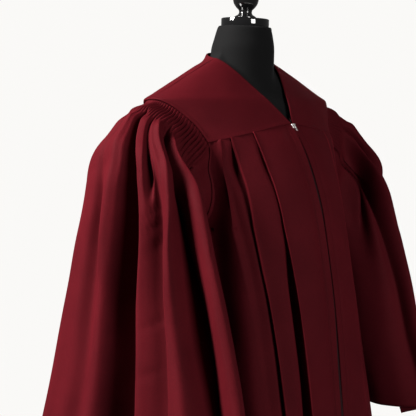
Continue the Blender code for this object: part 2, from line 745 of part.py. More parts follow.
def sleeve_base():
    """The left sleeve without its folds, from the armhole down to the cuff."""
    at_armhole, on_tube, _ = sleeve_turns()
    start, normal = armhole_loop(at_armhole)
    before, _ = armhole_loop(at_armhole - 0.02)
    after, _ = armhole_loop(at_armhole + 0.02)
    into_hole = unit(np.cross(normal, after - before))
    cosine = np.cos(at_armhole)
    leave = unit(np.stack([0.62 + 0.13 * cosine, -0.6 * np.sin(at_armhole), -0.7 + 0.1 * cosine], axis=-1))
    start = start + into_hole * 2.5 * MM + leave * 1.3 * MM
    end_height = HEAD_END_MIDDLE + HEAD_END_SWING * np.cos(on_tube)
    end = tube_point(on_tube, end_height)
    fall = unit(tube_point(on_tube, end_height - 0.02) - end)
    reach = 0.48 * np.linalg.norm(end - start, axis=-1, keepdims=True)
    rows = []
    for t in HEAD_ROWS:
        first = start * (1 - t) ** 3 + (start + leave * reach) * 3 * t * (1 - t) ** 2
        last = (end - fall * reach) * 3 * t * t * (1 - t) + end * t**3
        rows.append(first + last)
    for share in TUBE_ROWS:
        height = end_height + (CUFF_HEIGHT - end_height) * share
        rows.append(tube_point(on_tube, height))
    return np.array(rows)


def sleeve_folds(way):
    """How far in the cloth lies at each point of a row, for a share of the way down from 0 to 2."""
    _, on_tube, _ = sleeve_turns()
    inwards = np.zeros(len(on_tube))
    for row in SLEEVE_FOLDS:
        fold = dict(zip(FOLD_COLUMNS, row))
        middle = math.radians(fold["angle_top"] + (fold["angle_cuff"] - fold["angle_top"]) * way / 2)
        apart = (on_tube - middle + math.pi) % (2 * math.pi) - math.pi
        depth = fold["depth"] * float(ease(fold["start"], fold["full"], way))
        inwards += depth * np.exp(-((apart / math.radians(fold["half_angle"])) ** 2))
    return inwards


def small_pleats(way):
    """The cartridge pleats, deepest just below the seam and let go at uneven lengths."""
    at_armhole, _, side = sleeve_turns()
    number = np.arange(len(side)) // 2
    length = 0.46 + 0.10 * np.sin(number * 1.7) + 0.07 * np.sin(number * 4.1)
    near_top = 0.72 + 0.28 * ease(0, math.radians(35), np.abs(at_armhole))
    rise = 0.42 + 0.58 * ease(0.0, 0.07, way)
    return side * PLEAT_DEPTH * rise * near_top * ease(1.0, 0.28, way / length)


def build_sleeves(material):
    base = sleeve_base()
    down = unit(np.gradient(base, axis=0))
    outward = unit(offsets(base, down, True))
    ways = np.concatenate([HEAD_ROWS, 1 + np.array(TUBE_ROWS)])
    lift = np.array([small_pleats(way) - sleeve_folds(way) for way in ways])
    middle = base + outward * lift[..., None]
    outer, inner = walls_of(middle, down, True, SLEEVE_CLOTH)
    both_sides("sleeve", outer, inner, True, material, flip=False)


# Zip


def tape_edge(height):
    """Half the space between the two tapes, which part above the slider."""
    below = 0.45 * MM + 0.45 * MM * ease(SLIDER_HEIGHT - 4 * MM, V_HEIGHT - 1 * MM, height)
    return below + np.maximum(height - V_HEIGHT, 0) * TAPE_V_SLOPE


def front_row_shares():
    heights = panel_edge_heights()
    return (heights - HEM_HEIGHT) / (heights[0] - HEM_HEIGHT)


def build_tapes(material):
    """The two tapes lie just behind the fronts' edges, and their points follow the fronts' rows."""
    rows_below = HEM_HEIGHT + (V_HEIGHT - SEAM_DROP - HEM_HEIGHT) * front_row_shares()
    top = rows_below[0]
    above = [TAPE_TOP_HEIGHT, TAPE_TOP_HEIGHT - 5 * MM, V_HEIGHT + 1 * MM]
    near_slider = [top, SLIDER_HEIGHT, SLIDER_HEIGHT - 4 * MM]
    below = [height for height in rows_below[1:] if height > ZIP_END_HEIGHT + 0.03]
    heights = np.array(above + near_slider + below + [ZIP_END_HEIGHT])
    steps = np.array([0.0, TAPE_WIDTH])
    behind = -CLOTH / 2 - TAPE_CLOTH / 2 - 0.5 * MM
    known = np.concatenate([[TAPE_TOP_HEIGHT, V_HEIGHT + 1 * MM], rows_below])[::-1]
    lined_up = []
    for height in known:
        x = tape_edge(height) + steps
        normal = ring_normal(GOWN_RINGS, angle_at(x, height), height) * np.array([1, 1, 0])
        point = ring_point(GOWN_RINGS, angle_at(x, height), height)
        deeper = TAPE_BEHIND_YOKE * float(ease(V_HEIGHT - 4 * MM, V_HEIGHT + 3 * MM, height))
        lined_up.append(point + unit(normal) * (behind - deeper - float(seam_tuck(height))))
    lined_up = np.array(lined_up)
    rows = []
    for height in heights:
        y = [np.interp(height, known, lined_up[:, i, 1]) for i in range(2)]
        rows.append(np.stack([tape_edge(height) + steps, y, [height, height]], axis=-1))
    outer, inner = walls_of(np.array(rows), np.array([0.0, 0.0, -1.0]), False, TAPE_CLOTH, -1)
    both_sides("zip_tape", outer, inner, False, material, flip=True)


def front_frame(height, lift):
    """A frame on the centre front: x to the wearer's right, y out of the cloth, z up along it."""
    low = Vector(ring_point(GOWN_RINGS, math.pi / 2, height - 2 * MM))
    high = Vector(ring_point(GOWN_RINGS, math.pi / 2, height + 2 * MM))
    up = (high - low).normalized()
    right = Vector((-1, 0, 0))
    out = up.cross(right)
    centre = (low + high) / 2 + out * lift
    frame = Matrix((right, out, up)).transposed().to_4x4()
    frame.translation = centre
    return frame


def build_slider(metal, frame, top_level, pin_level):
    """Two plates joined by a post, with two lugs that hold the pull's pin."""
    width, plate, length = SLIDER_SIZE
    back_level = -PANEL_TUCK - 3.7 * MM
    top_centre = (0, top_level + plate / 2, 0)
    slider = box("zip_slider", (width, plate, length), top_centre, frame, metal, 0.5 * MM)
    back_size = (width * 0.8, 0.9 * MM, length * 0.9)
    back = box("slider_back", back_size, (0, back_level, 0), frame, metal)
    post_size = (1.0 * MM, top_level - back_level + 0.4 * MM, 1.6 * MM)
    post_centre = (0, (top_level + back_level) / 2, length / 2 - 1.3 * MM)
    post = box("slider_post", post_size, post_centre, frame, metal)
    pin = rod("slider_pin", PIN_RADIUS, 5.4 * MM, (0, pin_level, PIN_UP), frame, metal, 12)
    combine(slider, back, "UNION")
    combine(slider, post, "UNION")
    lug_size = (1.1 * MM, PIN_LIFT + 1.6 * MM, 2.4 * MM)
    for side in (-1, 1):
        lug_centre = (side * 2.7 * MM, pin_level - PIN_LIFT / 2, PIN_UP)
        lug = box(f"slider_lug_{side}", lug_size, lug_centre, frame, metal)
        combine(slider, lug, "UNION")
    combine(slider, pin, "UNION")


def build_pull(metal, frame):
    """The pull's barrel and blade, in a frame whose origin is the middle of the pin."""
    pull = rod("zip_pull", 1.55 * MM, 3.6 * MM, (0, 0, 0), frame, metal, 20)
    blade_centre = (0, 0, -1.0 * MM - PULL_LENGTH / 2)
    blade = box("pull_blade", (3.4 * MM, 1.2 * MM, PULL_LENGTH), blade_centre, frame, metal, 0.3 * MM)
    hole = rod("pull_hole", PIN_RADIUS + SEAM_GAP, 6 * MM, (0, 0, 0), frame, metal, 16)
    slot_centre = (0, 0, 1.2 * MM - PULL_LENGTH)
    slot = box("pull_slot", (1.6 * MM, 3 * MM, 2.0 * MM), slot_centre, frame, metal)
    combine(pull, blade, "UNION")
    combine(pull, hole, "DIFFERENCE")
    combine(pull, slot, "DIFFERENCE")


def build_zip(metal):
    frame = front_frame(SLIDER_HEIGHT, 0.0)
    top_level = 1.5 * MM
    pin_level = top_level + SLIDER_SIZE[1] + PIN_LIFT
    build_slider(metal, frame, top_level, pin_level)
    build_pull(metal, frame @ Matrix.Translation((0, pin_level, PIN_UP)))


def build_stops(metal):
    """A stop at the top of each tape, and one across both at the bottom."""
    stop_height = TAPE_TOP_HEIGHT - 3 * MM
    for side, name in ((1, "left"), (-1, "right")):
        frame = front_frame(stop_height, 0.0)
        slope = abs(frame.col[1][1])
        lift = (-PANEL_TUCK - CLOTH / 2 - 0.5 * MM - TAPE_BEHIND_YOKE) * slope + 0.9 * MM
        stop_centre = (-side * (float(tape_edge(stop_height)) + 0.4 * MM), lift, 0)
        box(f"zip_top_stop_{name}", (1.1 * MM, 1.0 * MM, 1.8 * MM), stop_centre, frame, metal)
    frame = front_frame(ZIP_END_HEIGHT + 3 * MM, 0.0)
    lift = -CLOTH / 2 - 0.5 * MM + 1.3 * MM
    box("zip_bottom_stop", (3.0 * MM, 1.0 * MM, 3.6 * MM), (0, lift, 0), frame, metal)


# Dress form


def form_rings():
    """Rings of the torso, pushed out to the round neck wherever the neck is the wider of the two."""
    heights = np.unique(np.concatenate([column(FORM_RINGS, RING_COLUMNS, "height"), [1.4505, 1.485]]))
    neck_heights = column(NECK_RINGS, NECK_COLUMNS, "height")
    angles = np.linspace(0, 2 * math.pi, FORM_POINTS, endpoint=False)
    rings = []
    for height in heights:
        ring = ring_point(FORM_RINGS, angles, np.full(FORM_POINTS, height))
        radius = float(smooth_curve(neck_heights, column(NECK_RINGS, NECK_COLUMNS, "radius"), height))
        middle = float(smooth_curve(neck_heights, column(NECK_RINGS, NECK_COLUMNS, "centre_y"), height))
        centre = np.array([0.0, middle, height])
        reach = np.linalg.norm(ring - centre, axis=1, keepdims=True)
        if height > neck_heights[0]:
            wider = (reach**NECK_BLEND + radius**NECK_BLEND) ** (1 / NECK_BLEND)
            ring = centre + (ring - centre) / reach * wider
        lean = math.tan(NECK_TILT) * float(ease(1.462, 1.500, height))
        ring[:, 2] += (ring[:, 1] - middle) * lean
        rings.append(ring)
    return rings


def build_form(cover, gloss, steel):
    loft("form_body", form_rings(), cover)
    top = float(FORM_RINGS[-1][0])
    neck_y = float(NECK_RINGS[-1][2])
    place = Matrix.Translation((0, neck_y, top)) @ Matrix.Rotation(NECK_TILT, 4, "X")
    half = CAP_RADIUS
    thick = CAP_THICKNESS
    cap_profile = [
        (0, 0.0003), (half - 0.0010, 0.0003), (half, 0.0015),
        (half, thick - 0.0012), (half - 0.0012, thick), (0, thick),
    ]
    lathe("neck_cap", cap_profile, gloss, place)
    seat = thick + 0.0003
    finial_profile = [(radius, seat + height) for radius, height in FINIAL_PROFILE]
    lathe("finial", finial_profile, gloss, place)
    centre = Matrix.Identity(4)
    pole_profile = [(0, POLE_BOTTOM), (POLE_RADIUS, POLE_BOTTOM), (POLE_RADIUS, POLE_TOP), (0, POLE_TOP)]
    lathe("pole", pole_profile, steel, centre, 24)
    rim = BASE_RADIUS
    base_profile = [
        (0, 0.0), (rim - 0.0015, 0.0), (rim, 0.0015), (rim, 0.0060), (rim - 0.0020, 0.0080),
        (0.060, 0.0110), (0.030, 0.0140), (0, 0.0140),
    ]
    lathe("base", base_profile, steel, centre, 48)


# Materials


def finish(name, colour, roughness, metallic=0.0):
    material = bpy.data.materials.new(name)
    material.use_nodes = True
    shader = material.node_tree.nodes["Principled BSDF"]
    shader.inputs["Base Color"].default_value = (*colour, 1.0)
    shader.inputs["Roughness"].default_value = roughness
    shader.inputs["Metallic"].default_value = metallic
    material.diffuse_color = (*colour, 1.0)
    return material


def main():
    for obj in list(bpy.data.objects):
        bpy.data.objects.remove(obj)
    cloth = finish("burgundy_cloth", (0.150, 0.016, 0.026), 0.70)
    tape = finish("zip_tape_cloth", (0.080, 0.010, 0.016), 0.80)
    nickel = finish("nickel", (0.62, 0.61, 0.60), 0.30, 1.0)
    cover = finish("black_jersey", (0.012, 0.012, 0.013), 0.85)
    gloss = finish("black_gloss", (0.008, 0.008, 0.009), 0.12)
    steel = finish("black_steel", (0.020, 0.020, 0.022), 0.35)
    build_yokes(cloth)
    build_panels(cloth)
    build_sleeves(cloth)
    build_tapes(tape)
    build_zip(nickel)
    build_stops(nickel)
    build_form(cover, gloss, steel)


GOWN = bpy.data.collections.new("graduation_gown")
bpy.context.scene.collection.children.link(GOWN)
main()
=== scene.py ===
"""Looks of the graduation gown on its dress form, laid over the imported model."""

import math

import bpy
import numpy as np
from mathutils import Matrix, Vector


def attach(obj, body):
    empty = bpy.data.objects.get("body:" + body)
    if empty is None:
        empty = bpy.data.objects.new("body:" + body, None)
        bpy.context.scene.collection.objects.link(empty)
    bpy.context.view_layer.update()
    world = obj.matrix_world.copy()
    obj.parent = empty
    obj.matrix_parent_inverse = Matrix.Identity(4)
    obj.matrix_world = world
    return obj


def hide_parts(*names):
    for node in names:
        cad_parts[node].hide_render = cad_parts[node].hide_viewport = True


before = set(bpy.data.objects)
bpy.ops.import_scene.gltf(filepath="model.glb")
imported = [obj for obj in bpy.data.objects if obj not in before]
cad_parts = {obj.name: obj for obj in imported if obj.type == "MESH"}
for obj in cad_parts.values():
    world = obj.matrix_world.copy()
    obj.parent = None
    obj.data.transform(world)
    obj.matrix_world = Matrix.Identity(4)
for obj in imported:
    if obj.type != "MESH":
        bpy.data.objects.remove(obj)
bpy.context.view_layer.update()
BODY = "gown_on_form"

MM = 0.001
SIDES = {"left": 1, "right": -1}


def columns_of(names, rows):
    """A table's columns by name. Its millimetres become metres, and squareness stays as it is."""
    columns = zip(names.split(), np.array(rows, float).T)
    return {name: column if name == "squareness" else column / 1000 for name, column in columns}


# The worn gown's size in metres, as in the solids.
NECK_POINT_HEIGHT = 1.440
NECK_POINT_X = 0.078
NECK_BACK_HEIGHT = 1.459
SHOULDER_HEIGHT = 1.360
UNDERARM_HEIGHT = 1.125
HEM_HEIGHT = 0.200
V_HEIGHT = 1.314
YOKE_BACK_HEIGHT = 1.306
ZIP_HALF_GAP = 1.2 * MM
ZIP_END_HEIGHT = 0.420
CUFF_HEIGHT = 0.720
SLIDER_HEIGHT = 1.3090

RING_COLUMNS = "height half_width front back side_y squareness"
GOWN_RINGS = columns_of(RING_COLUMNS, (
    (200, 335, 287, 290, 0, 2.2), (450, 274, 254, 250, 0, 2.3), (600, 233, 237, 227, 0, 2.4),
    (720, 203, 224, 207, 2, 2.45), (850, 184, 213, 187, 5, 2.45), (980, 176, 200, 168, 9, 2.4),
    (1070, 174, 187, 156, 12, 2.3), (1125, 175, 178, 148, 14, 2.2), (1155, 179, 172, 145, 15, 2.15),
    (1200, 188, 159, 142, 17, 2.1), (1245, 200, 142, 138, 19, 2), (1284, 213, 122, 133, 20, 2),
    (1314, 224, 102.5, 128, 21, 2), (1330, 233, 92, 125, 22, 2), (1360, 242, 70, 119, 22, 2),
    (1372, 219, 59, 116, 22, 2), (1385, 190.8, 48, 113, 21, 2), (1410, 139.5, 26.8, 108, 21, 2),
    (1425, 108.8, 12.5, 104, 20, 2), (1440, 78, 0, 99, 20, 2), (1462, 64, -5, 89, 20, 2),
    (1480, 56, -6, 81, 20, 2),
))
FORM_RINGS = columns_of(RING_COLUMNS, (
    (765, 148, 108, 118, 0, 2), (850, 156, 112, 126, 0, 2), (960, 138, 104, 104, 0, 2),
    (1030, 124, 106, 88, 2, 2), (1100, 136, 130, 100, 5, 2), (1160, 150, 146, 116, 9, 2),
    (1200, 158, 141, 122, 12, 2), (1245, 170, 124, 122, 16, 2), (1290, 184, 99, 117, 19, 2),
    (1330, 197, 78, 111, 21, 2), (1352, 204, 63, 107, 21, 2), (1370, 201, 50, 103, 21, 2),
    (1385, 185, 41, 100, 21, 2), (1410, 134, 19, 93, 21, 2), (1425, 103.5, 5, 86, 20, 2),
    (1440, 70, -6, 78, 20, 2), (1462, 50, -10, 65, 20, 2), (1503, 40, -10, 45, 13.5, 2),
))
NECK_RINGS = columns_of("height radius centre_y", (
    (1300, 45, 20), (1380, 58, 20.5), (1420, 61.2, 21), (1457, 62, 20), (1485, 56.5, 16.5),
    (1503, 52, 13.5),
))
NECK_TILT = math.radians(3.5)
NECK_BLEND_POWER = 12
CAP_RADIUS = 0.0465
CAP_THICKNESS = 0.0155
SEAT_GAP = 0.0003
FINIAL_PROFILE = columns_of("radius height", (
    (0, 0), (21.1, 0), (21.6, 2), (19.5, 4.5), (14.2, 7.8), (12.4, 12), (13, 15.5), (18.5, 21.5),
    (23.6, 30), (25.2, 39), (23.6, 48), (18.5, 56.5), (10, 62.2), (0, 64),
))
TURNED_STEPS = 96

ARMHOLE_MIDDLE = (SHOULDER_HEIGHT + UNDERARM_HEIGHT) / 2
ARMHOLE_HALF = (SHOULDER_HEIGHT - UNDERARM_HEIGHT) / 2
SEAM_TURN = 0.0008
ARMHOLE_TURN_FRONT = math.radians(33)
ARMHOLE_TURN_BACK = math.radians(38)
ARMHOLE_TOP_POWER = 0.72
ARMHOLE_SIDE_POWER = 0.75
CORNER_AROUND = math.radians(77)
YOKE_CORNER_HEIGHT = ARMHOLE_MIDDLE + ARMHOLE_HALF * math.cos(CORNER_AROUND) ** ARMHOLE_TOP_POWER
BACK_CORNER_SHARE = 0.36
SEAM_POWER = 1.3
SEAM_DRAW = 0.21
SEAM_DRAW_DROP = 0.055

SLEEVE_RINGS = columns_of("height centre_x half_width half_depth centre_y", (
    (720, 301, 86, 270, 18), (800, 290, 84, 253, 19), (870, 282.5, 83, 235.5, 20),
    (970, 274, 80, 210.5, 20), (1050, 269, 78, 187, 20), (1120, 268, 76, 163.5, 20),
    (1180, 269.5, 73, 141, 20), (1220, 269, 71, 125.5, 20), (1260, 266, 66, 111, 20),
))
HEAD_END_MIDDLE = 1.150
HEAD_END_SWING = 0.100

PLEATS = 46
PLEAT_POINTS = 8
UNDERARM_POINTS = 40
PLEATED_TURN = math.radians(81)
SPREAD_TURN = math.radians(135)
PLEAT_DEPTH = 3.3 * MM
PLEAT_LENGTH = 0.25
SWEEP = math.radians(8)

# The sleeve's folds. Each row has the fold's angle (degrees: 0 outside, 90 front), its depth (mm), its width
# towards smaller and towards larger angles (degrees), each at FOLD_HEIGHTS or one number for them all, and
# the power that its smaller side falls with: 2 is a bell, 4 a flatter floor and a steeper wall. A valley's
# depth is positive, a ridge's negative.
FOLD_HEIGHTS = (0.72, 0.85, 1.00, 1.10, 1.19, 1.26)
SLEEVE_FOLDS = (
    ((9, 10, 12.5, 16, 19.5, 21), (76, 76, 76, 74, 64, 36),
     (14, 13, 12.5, 12, 10, 7), (4, 3.6, 3.2, 3, 3, 3), 4),
    ((76, 74, 69, 69, 72, 76), (66, 68, 71, 72, 58, 22),
     (22, 23, 22, 18, 9.5, 4), (4.5, 4.5, 4.5, 4.5, 4, 4), 4),
    ((-24, -22, -21, -20, -16, -14), (16, 16, 17, 16, 12, 3), (6, 6, 6, 6, 5, 5), (8, 8, 8, 8, 6, 5), 2),
    ((31, 33, 34.5, 38, 45, 47), (24, 24, 23, 22, 15, 6),
     (11, 11, 11, 10, 7, 4), (1.7, 1.7, 1.6, 1.6, 1.6, 2), 2),
    ((132, 132, 131, 129, 127, 126), (0, 0, 6, 30, 44, 34),
     (14, 14, 14, 15, 16, 16), (16, 16, 16, 18, 18, 18), 2),
    ((46, 46, 45, 48, 55, 60), (-8, -9, -10, -11, -11, -8), (6, 6, 5, 5, 5, 5), (7, 7, 7, 7, 6, 5), 2),
    ((90, 88, 85, 83, 85, 88), (-7, -8, -9, -12, -17, -11), (6, 6, 6, 6, 6, 5), (8, 8, 8, 9, 10, 9), 2),
    ((-6, -6, -7, -7, -2, 3), (-8, -8, -9, -10, -10, -6), (9, 9, 8, 8, 7, 6), (7, 7, 6, 6, 6, 5), 2),
    ((-48, -48, -47, -46, -44, -42), (-12, -10, -6, -3, 0, 0), 7, 8, 2),
    ((-66, -65, -64, -62, -60, -58), (40, 40, 38, 34, 28, 8), (8, 8, 7, 7, 6, 6), (6, 6, 5, 5, 5, 5), 2),
    ((-104, -103, -100, -98, -96, -95), (30, 30, 28, 24, 18, 6), (9, 9, 8, 8, 7, 7), (7, 7, 7, 6, 6, 6), 2),
    ((113, 112, 111, 109, 107, 106), (16, 16, 16, 20, 26, 18),
     (8, 8, 8, 9, 10, 11), (12, 12, 12, 11, 11, 11), 2),
    ((-142, -142, -141, -140, -140, -140), (12, 12, 10, 6, 2, 0), (10, 10, 10, 9, 9, 9), 8, 2),
    ((148, 148, 149, 150, 150, 150), (10, 10, 8, 5, 2, 0), 8, (10, 10, 10, 9, 9, 9), 2),
    ((-80, -82, -84, -82, -80, -78), (12, 12, 10, 8, 5, 0), 5, 4, 2),
)
FOLD_SWAY_PHASE = 117

# Small creases: angle and height of the middle, direction of the run (degrees from level), length, width
# and depth (mm). They are drawn as if a degree round the sleeve were always CREASE_SCALE metres.
CREASE_SCALE = 0.0022
SLEEVE_CREASES = (
    (40, 1.245, 82, 84, 13, 22), (37, 1.172, 40, 34, 6.5, 3), (34, 1.146, 34, 36, 6.5, 2.8),
    (36, 1.12, 44, 34, 6.5, 2.4), (30, 1.15, -50, 30, 7, 2), (27, 0.985, 40, 42, 7, 2.6),
    (24, 0.9, 34, 40, 8, 2), (-12, 1.02, 74, 60, 5, 2.6), (-14, 0.89, 76, 70, 5, 2.2),
    (52, 1.06, 70, 50, 6, 1.8), (86, 1.12, 74, 46, 6, 2.2),
)

# The knife pleats: at KNIFE_HEIGHTS where their edges lie and how high a layer stands (m), and at
# SLOT_HEIGHTS how deep and wide the slot beside them is (mm). KNIFE_UNDER is the fold's width under an edge,
# at the yoke and at the hem.
KNIFE_HEIGHTS = (0.200, 0.800, 1.160, 1.300)
KNIFE_UNDER = (0.012, 0.030)
KNIFE_PLEATS = (
    {
        "x": (0.100, 0.0775, 0.0880, 0.1018), "layer": (0.0080, 0.0036, 0.0014, 0.0011),
        "slot": (26, 26, 26, 22, 3, 1, 4, 0), "wide": (20, 14, 11, 9, 3, 3, 4, 3),
    },
    {
        "x": (0.160, 0.1195, 0.1298, 0.1450), "layer": (0.0080, 0.0034, 0.0015, 0.0012),
        "slot": (18, 9, 3, 1, 1, 4, 10, 0), "wide": (18, 8, 4, 3, 4, 8, 8, 4),
    },
)
SLOT_HEIGHTS = (0.200, 0.600, 0.850, 1.000, 1.120, 1.200, 1.260, 1.300)
# Width of the painted highlight along each knife pleat's fold edge.
EDGE_HIGHLIGHT_WIDTH = 1.3 * MM
PLACKET_WIDTH = 0.0185
# How much farther out each front's zip edge stands, and how far it lies from the middle (mm).
PROUD = {"left": -0.3 * MM, "right": 2.0 * MM}
GAP_HEIGHTS = (0.340, 0.420, 0.900, 1.150, 1.270, 1.314)
GAP_WIDTHS = {"left": (-1.0, 1.2, 5.6, 5.2, 3.2, 1.3), "right": (-1.0, 0.6, 2.6, 2.4, 1.6, 1.2)}
# The soft fold beside the knife pleats.
RIDGE_HEIGHTS = (0.2, 0.5, 0.8, 1.0, 1.14, 1.24, 1.3)
RIDGE_X = (0.232, 0.192, 0.156, 0.1505, 0.1490, 0.1535, 0.158)
GATHER_PITCH = 0.0085
OUTER_STEPS = np.linspace(0, 1, 73)[1:]
BACK_FOLDS = 7
WAVE_FADE = 0.030
# How far past the side the back's edge lies, and the front's, which laps it (radians).
SIDE_TURN = 0.0004
SIDE_LAP = 0.0014

SHELL = 0.6 * MM
YOKE_SHELL = 1.4 * MM
BODY_HEM = 0.024
CUFF_HEM = 0.022
STITCH_PITCH = 3.0 * MM
STITCH_INSET = 6.0 * MM
STITCH_SIZE = (2.1 * MM, 0.3 * MM, 0.45 * MM)
# The rows and the column of points that rows of stitches follow.
HEM_ROW = -3
CUFF_ROW = -4
PLACKET_COLUMN = 14
TOOTH_PITCH = 1.5 * MM
TOOTH_SIZE = (2.2 * MM, 1.1 * MM, 0.8 * MM)
LOWEST_TOOTH = ZIP_END_HEIGHT + 0.006

# Strength of the light from all round, and as reflections see it.
AMBIENT = 0.015
GLOSSY_AMBIENT = 0.14
BACKDROP = (0.855, 0.848, 0.8345, 1)
# Name, azimuth (degrees, 0 in front and negative to the wearer's right), height, distance, size, power,
# colour and the point aimed at. The far light gives no reflections.
LIGHTS = (
    ("key", -115, 2.95, 2.8, (1.0, 1.4), 318, (1.0, 0.98, 0.96), (-0.15, 0.0, 1.05)),
    ("far", 118, 2.3, 3.0, (1.4, 1.8), 150, (1.0, 0.99, 0.98), (0.1, 0.0, 0.95)),
    ("fill", -8, 1.9, 3.4, (1.2, 1.6), 84, (1.0, 0.99, 0.98), (0, 0.0, 1.1)),
)
FLOOR_RADIUS = 3.2
FLOOR_FADE = (0.9, 2.1)
CAMERA_AZIMUTH = math.radians(-47.67)
CAMERA_PITCH = math.radians(6.983)
CAMERA_ROLL = math.radians(-0.698)
CAMERA_DISTANCE = 1.7673
CAMERA_HEIGHT = 1.3121


# Curves and surfaces


def smooth_curve(xs, ys, at):
    """A smooth curve through a table's rows that never overshoots them."""
    xs = np.asarray(xs, float)
    ys = np.asarray(ys, float)
    at = np.clip(np.asarray(at, float), xs[0], xs[-1])
    step = np.diff(xs)
    slope = np.diff(ys) / step
    turn = np.zeros(len(ys))
    turn[0] = slope[0]
    turn[-1] = slope[-1]
    both = slope[:-1] * slope[1:]
    total = slope[:-1] + slope[1:]
    turn[1:-1] = np.where(both > 0, 2 * both / np.where(both > 0, total, 1), 0)
    i = np.clip(np.searchsorted(xs, at) - 1, 0, len(xs) - 2)
    t = (at - xs[i]) / step[i]
    rise = (3 - 2 * t) * t * t
    start = t * (1 - t) ** 2 * step[i] * turn[i]
    end = t * t * (t - 1) * step[i] * turn[i + 1]
    return ys[i] * (1 - rise) + ys[i + 1] * rise + start + end


def ease(low, high, value):
    """0 at low, 1 at high, and a smooth step between."""
    t = np.clip((np.asarray(value, float) - low) / (high - low), 0, 1)
    return t * t * (3 - 2 * t)


def hump(start, full, leave, end, value):
    """0 up to start, 1 from full to leave, 0 from end on, and smooth steps between."""
    return ease(start, full, value) * ease(end, leave, value)


def between(first, last, share):
    return first + (last - first) * share


def table_value(table, name, height):
    return smooth_curve(table["height"], table[name], height)


def ring_point(angle, height, rings=GOWN_RINGS):
    """The point of a ring at an angle: 0 is the left side, 90 degrees the front, -90 the back."""
    angle, height = np.broadcast_arrays(np.asarray(angle, float), np.asarray(height, float))
    wide = table_value(rings, "half_width", height)
    side = table_value(rings, "side_y", height)
    front = table_value(rings, "front", height) + side
    back = table_value(rings, "back", height) - side
    power = 2 / table_value(rings, "squareness", height)
    cosine = np.sign(np.cos(angle)) * np.abs(np.cos(angle)) ** power
    sine = np.sign(np.sin(angle)) * np.abs(np.sin(angle)) ** power
    return np.stack([wide * cosine, side - np.where(sine > 0, front, back) * sine, height], axis=-1)


def unit(vectors):
    return vectors / np.maximum(np.linalg.norm(vectors, axis=-1, keepdims=True), 1e-12)


def gown_surface(angle, height):
    """A point of the worn gown without its folds, and the way out of it there."""
    turn, rise = 1e-3, 1e-4
    along = ring_point(angle + turn, height) - ring_point(angle - turn, height)
    up = ring_point(angle, height + rise) - ring_point(angle, height - rise)
    return ring_point(angle, height), unit(np.cross(up, along))


def angle_at(x, height):
    share = np.clip(x / table_value(GOWN_RINGS, "half_width", height), 0, 1)
    return np.arccos(share ** (table_value(GOWN_RINGS, "squareness", height) / 2))


def from_zero(angle):
    """How far an angle is from 0, the short way round."""
    return np.abs((angle + math.pi) % math.tau - math.pi)


def seam_draw(height):
    """Below the yoke the sleeve's pull draws the front seam a little towards the side."""
    return 1 - SEAM_DRAW * ease(YOKE_CORNER_HEIGHT, YOKE_CORNER_HEIGHT - SEAM_DRAW_DROP, height)


def armhole_turn(height, turn):
    share = np.clip((np.asarray(height, float) - ARMHOLE_MIDDLE) / ARMHOLE_HALF, -1, 1)
    cosine = np.where(share > 0, np.abs(share) ** (1 / ARMHOLE_TOP_POWER), share)
    sine = np.sqrt(1 - cosine * cosine)
    drawn = seam_draw(height) if turn > 0 else 1
    return turn * np.where(share > 0, sine**ARMHOLE_SIDE_POWER, sine) * drawn


def armhole_place(around):
    """Angle and height of the armhole's edge: 0 is the shoulder, 90 degrees the front, 180 the underarm."""
    cosine = np.cos(around)
    sine = np.sin(around)
    upper = np.maximum(cosine, 0)
    height = ARMHOLE_MIDDLE + ARMHOLE_HALF * np.where(cosine > 0, upper**ARMHOLE_TOP_POWER, cosine)
    size = np.where(cosine > 0, np.abs(sine) ** ARMHOLE_SIDE_POWER, np.abs(sine))
    return np.where(sine > 0, ARMHOLE_TURN_FRONT * seam_draw(height), -ARMHOLE_TURN_BACK) * size, height


CORNER_TURN = armhole_turn(YOKE_CORNER_HEIGHT, ARMHOLE_TURN_FRONT)
CORNER_X = float(ring_point(CORNER_TURN, YOKE_CORNER_HEIGHT)[0])


def seam_height(x):
    share = np.clip(np.abs(x) / CORNER_X, 0, 1)
    return V_HEIGHT - (V_HEIGHT - YOKE_CORNER_HEIGHT) * share**SEAM_POWER


def down_share(height):
    return np.clip((V_HEIGHT - height) / (V_HEIGHT - HEM_HEIGHT), 0, 1)


def mirrored(points, side=-1):
    """Points of the left side, taken to the right one where side is -1."""
    return points * np.array([side, 1, 1])


def grid_normals(points, closed=False):
    """Normals of a grid of points from its own neighbours."""
    if closed:
        across = np.roll(points, -1, axis=1) - np.roll(points, 1, axis=1)
    else:
        across = np.gradient(points, axis=1)
    return unit(np.cross(across, np.gradient(points, axis=0)))


# Meshes


def lengths(points, axis):
    """How far along the cloth each point lies, in metres."""
    step = np.linalg.norm(np.diff(points, axis=axis), axis=-1)
    zero = np.zeros_like(np.take(step, [0], axis=axis))
    return np.concatenate([zero, np.cumsum(step, axis=axis)], axis=axis)


def add_object(name, data):
    added = bpy.data.objects.new(name, data)
    bpy.context.scene.collection.objects.link(added)
    return added


def add_piece(name, mesh, material, shell=0.0):
    """A smooth piece on the gown's body, with the thickness of its shell."""
    mesh.materials.append(material)
    mesh.shade_smooth()
    piece = add_object(name, mesh)
    if shell:
        solid = piece.modifiers.new("shell", "SOLIDIFY")
        solid.thickness = shell
        solid.offset = -1
        solid.use_rim = True
    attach(piece, BODY)
    return piece


def with_hem(points, closed, outward, hem):
    """The last row turns in and runs back up inside."""
    inwards = -grid_normals(points, closed)[-1] * outward
    up = unit(points[-2] - points[-1])
    turned = [points[-1] + inwards * 1.3 * MM, points[-1] + inwards * 1.6 * MM + up * hem]
    return np.concatenate([points, np.array(turned)])


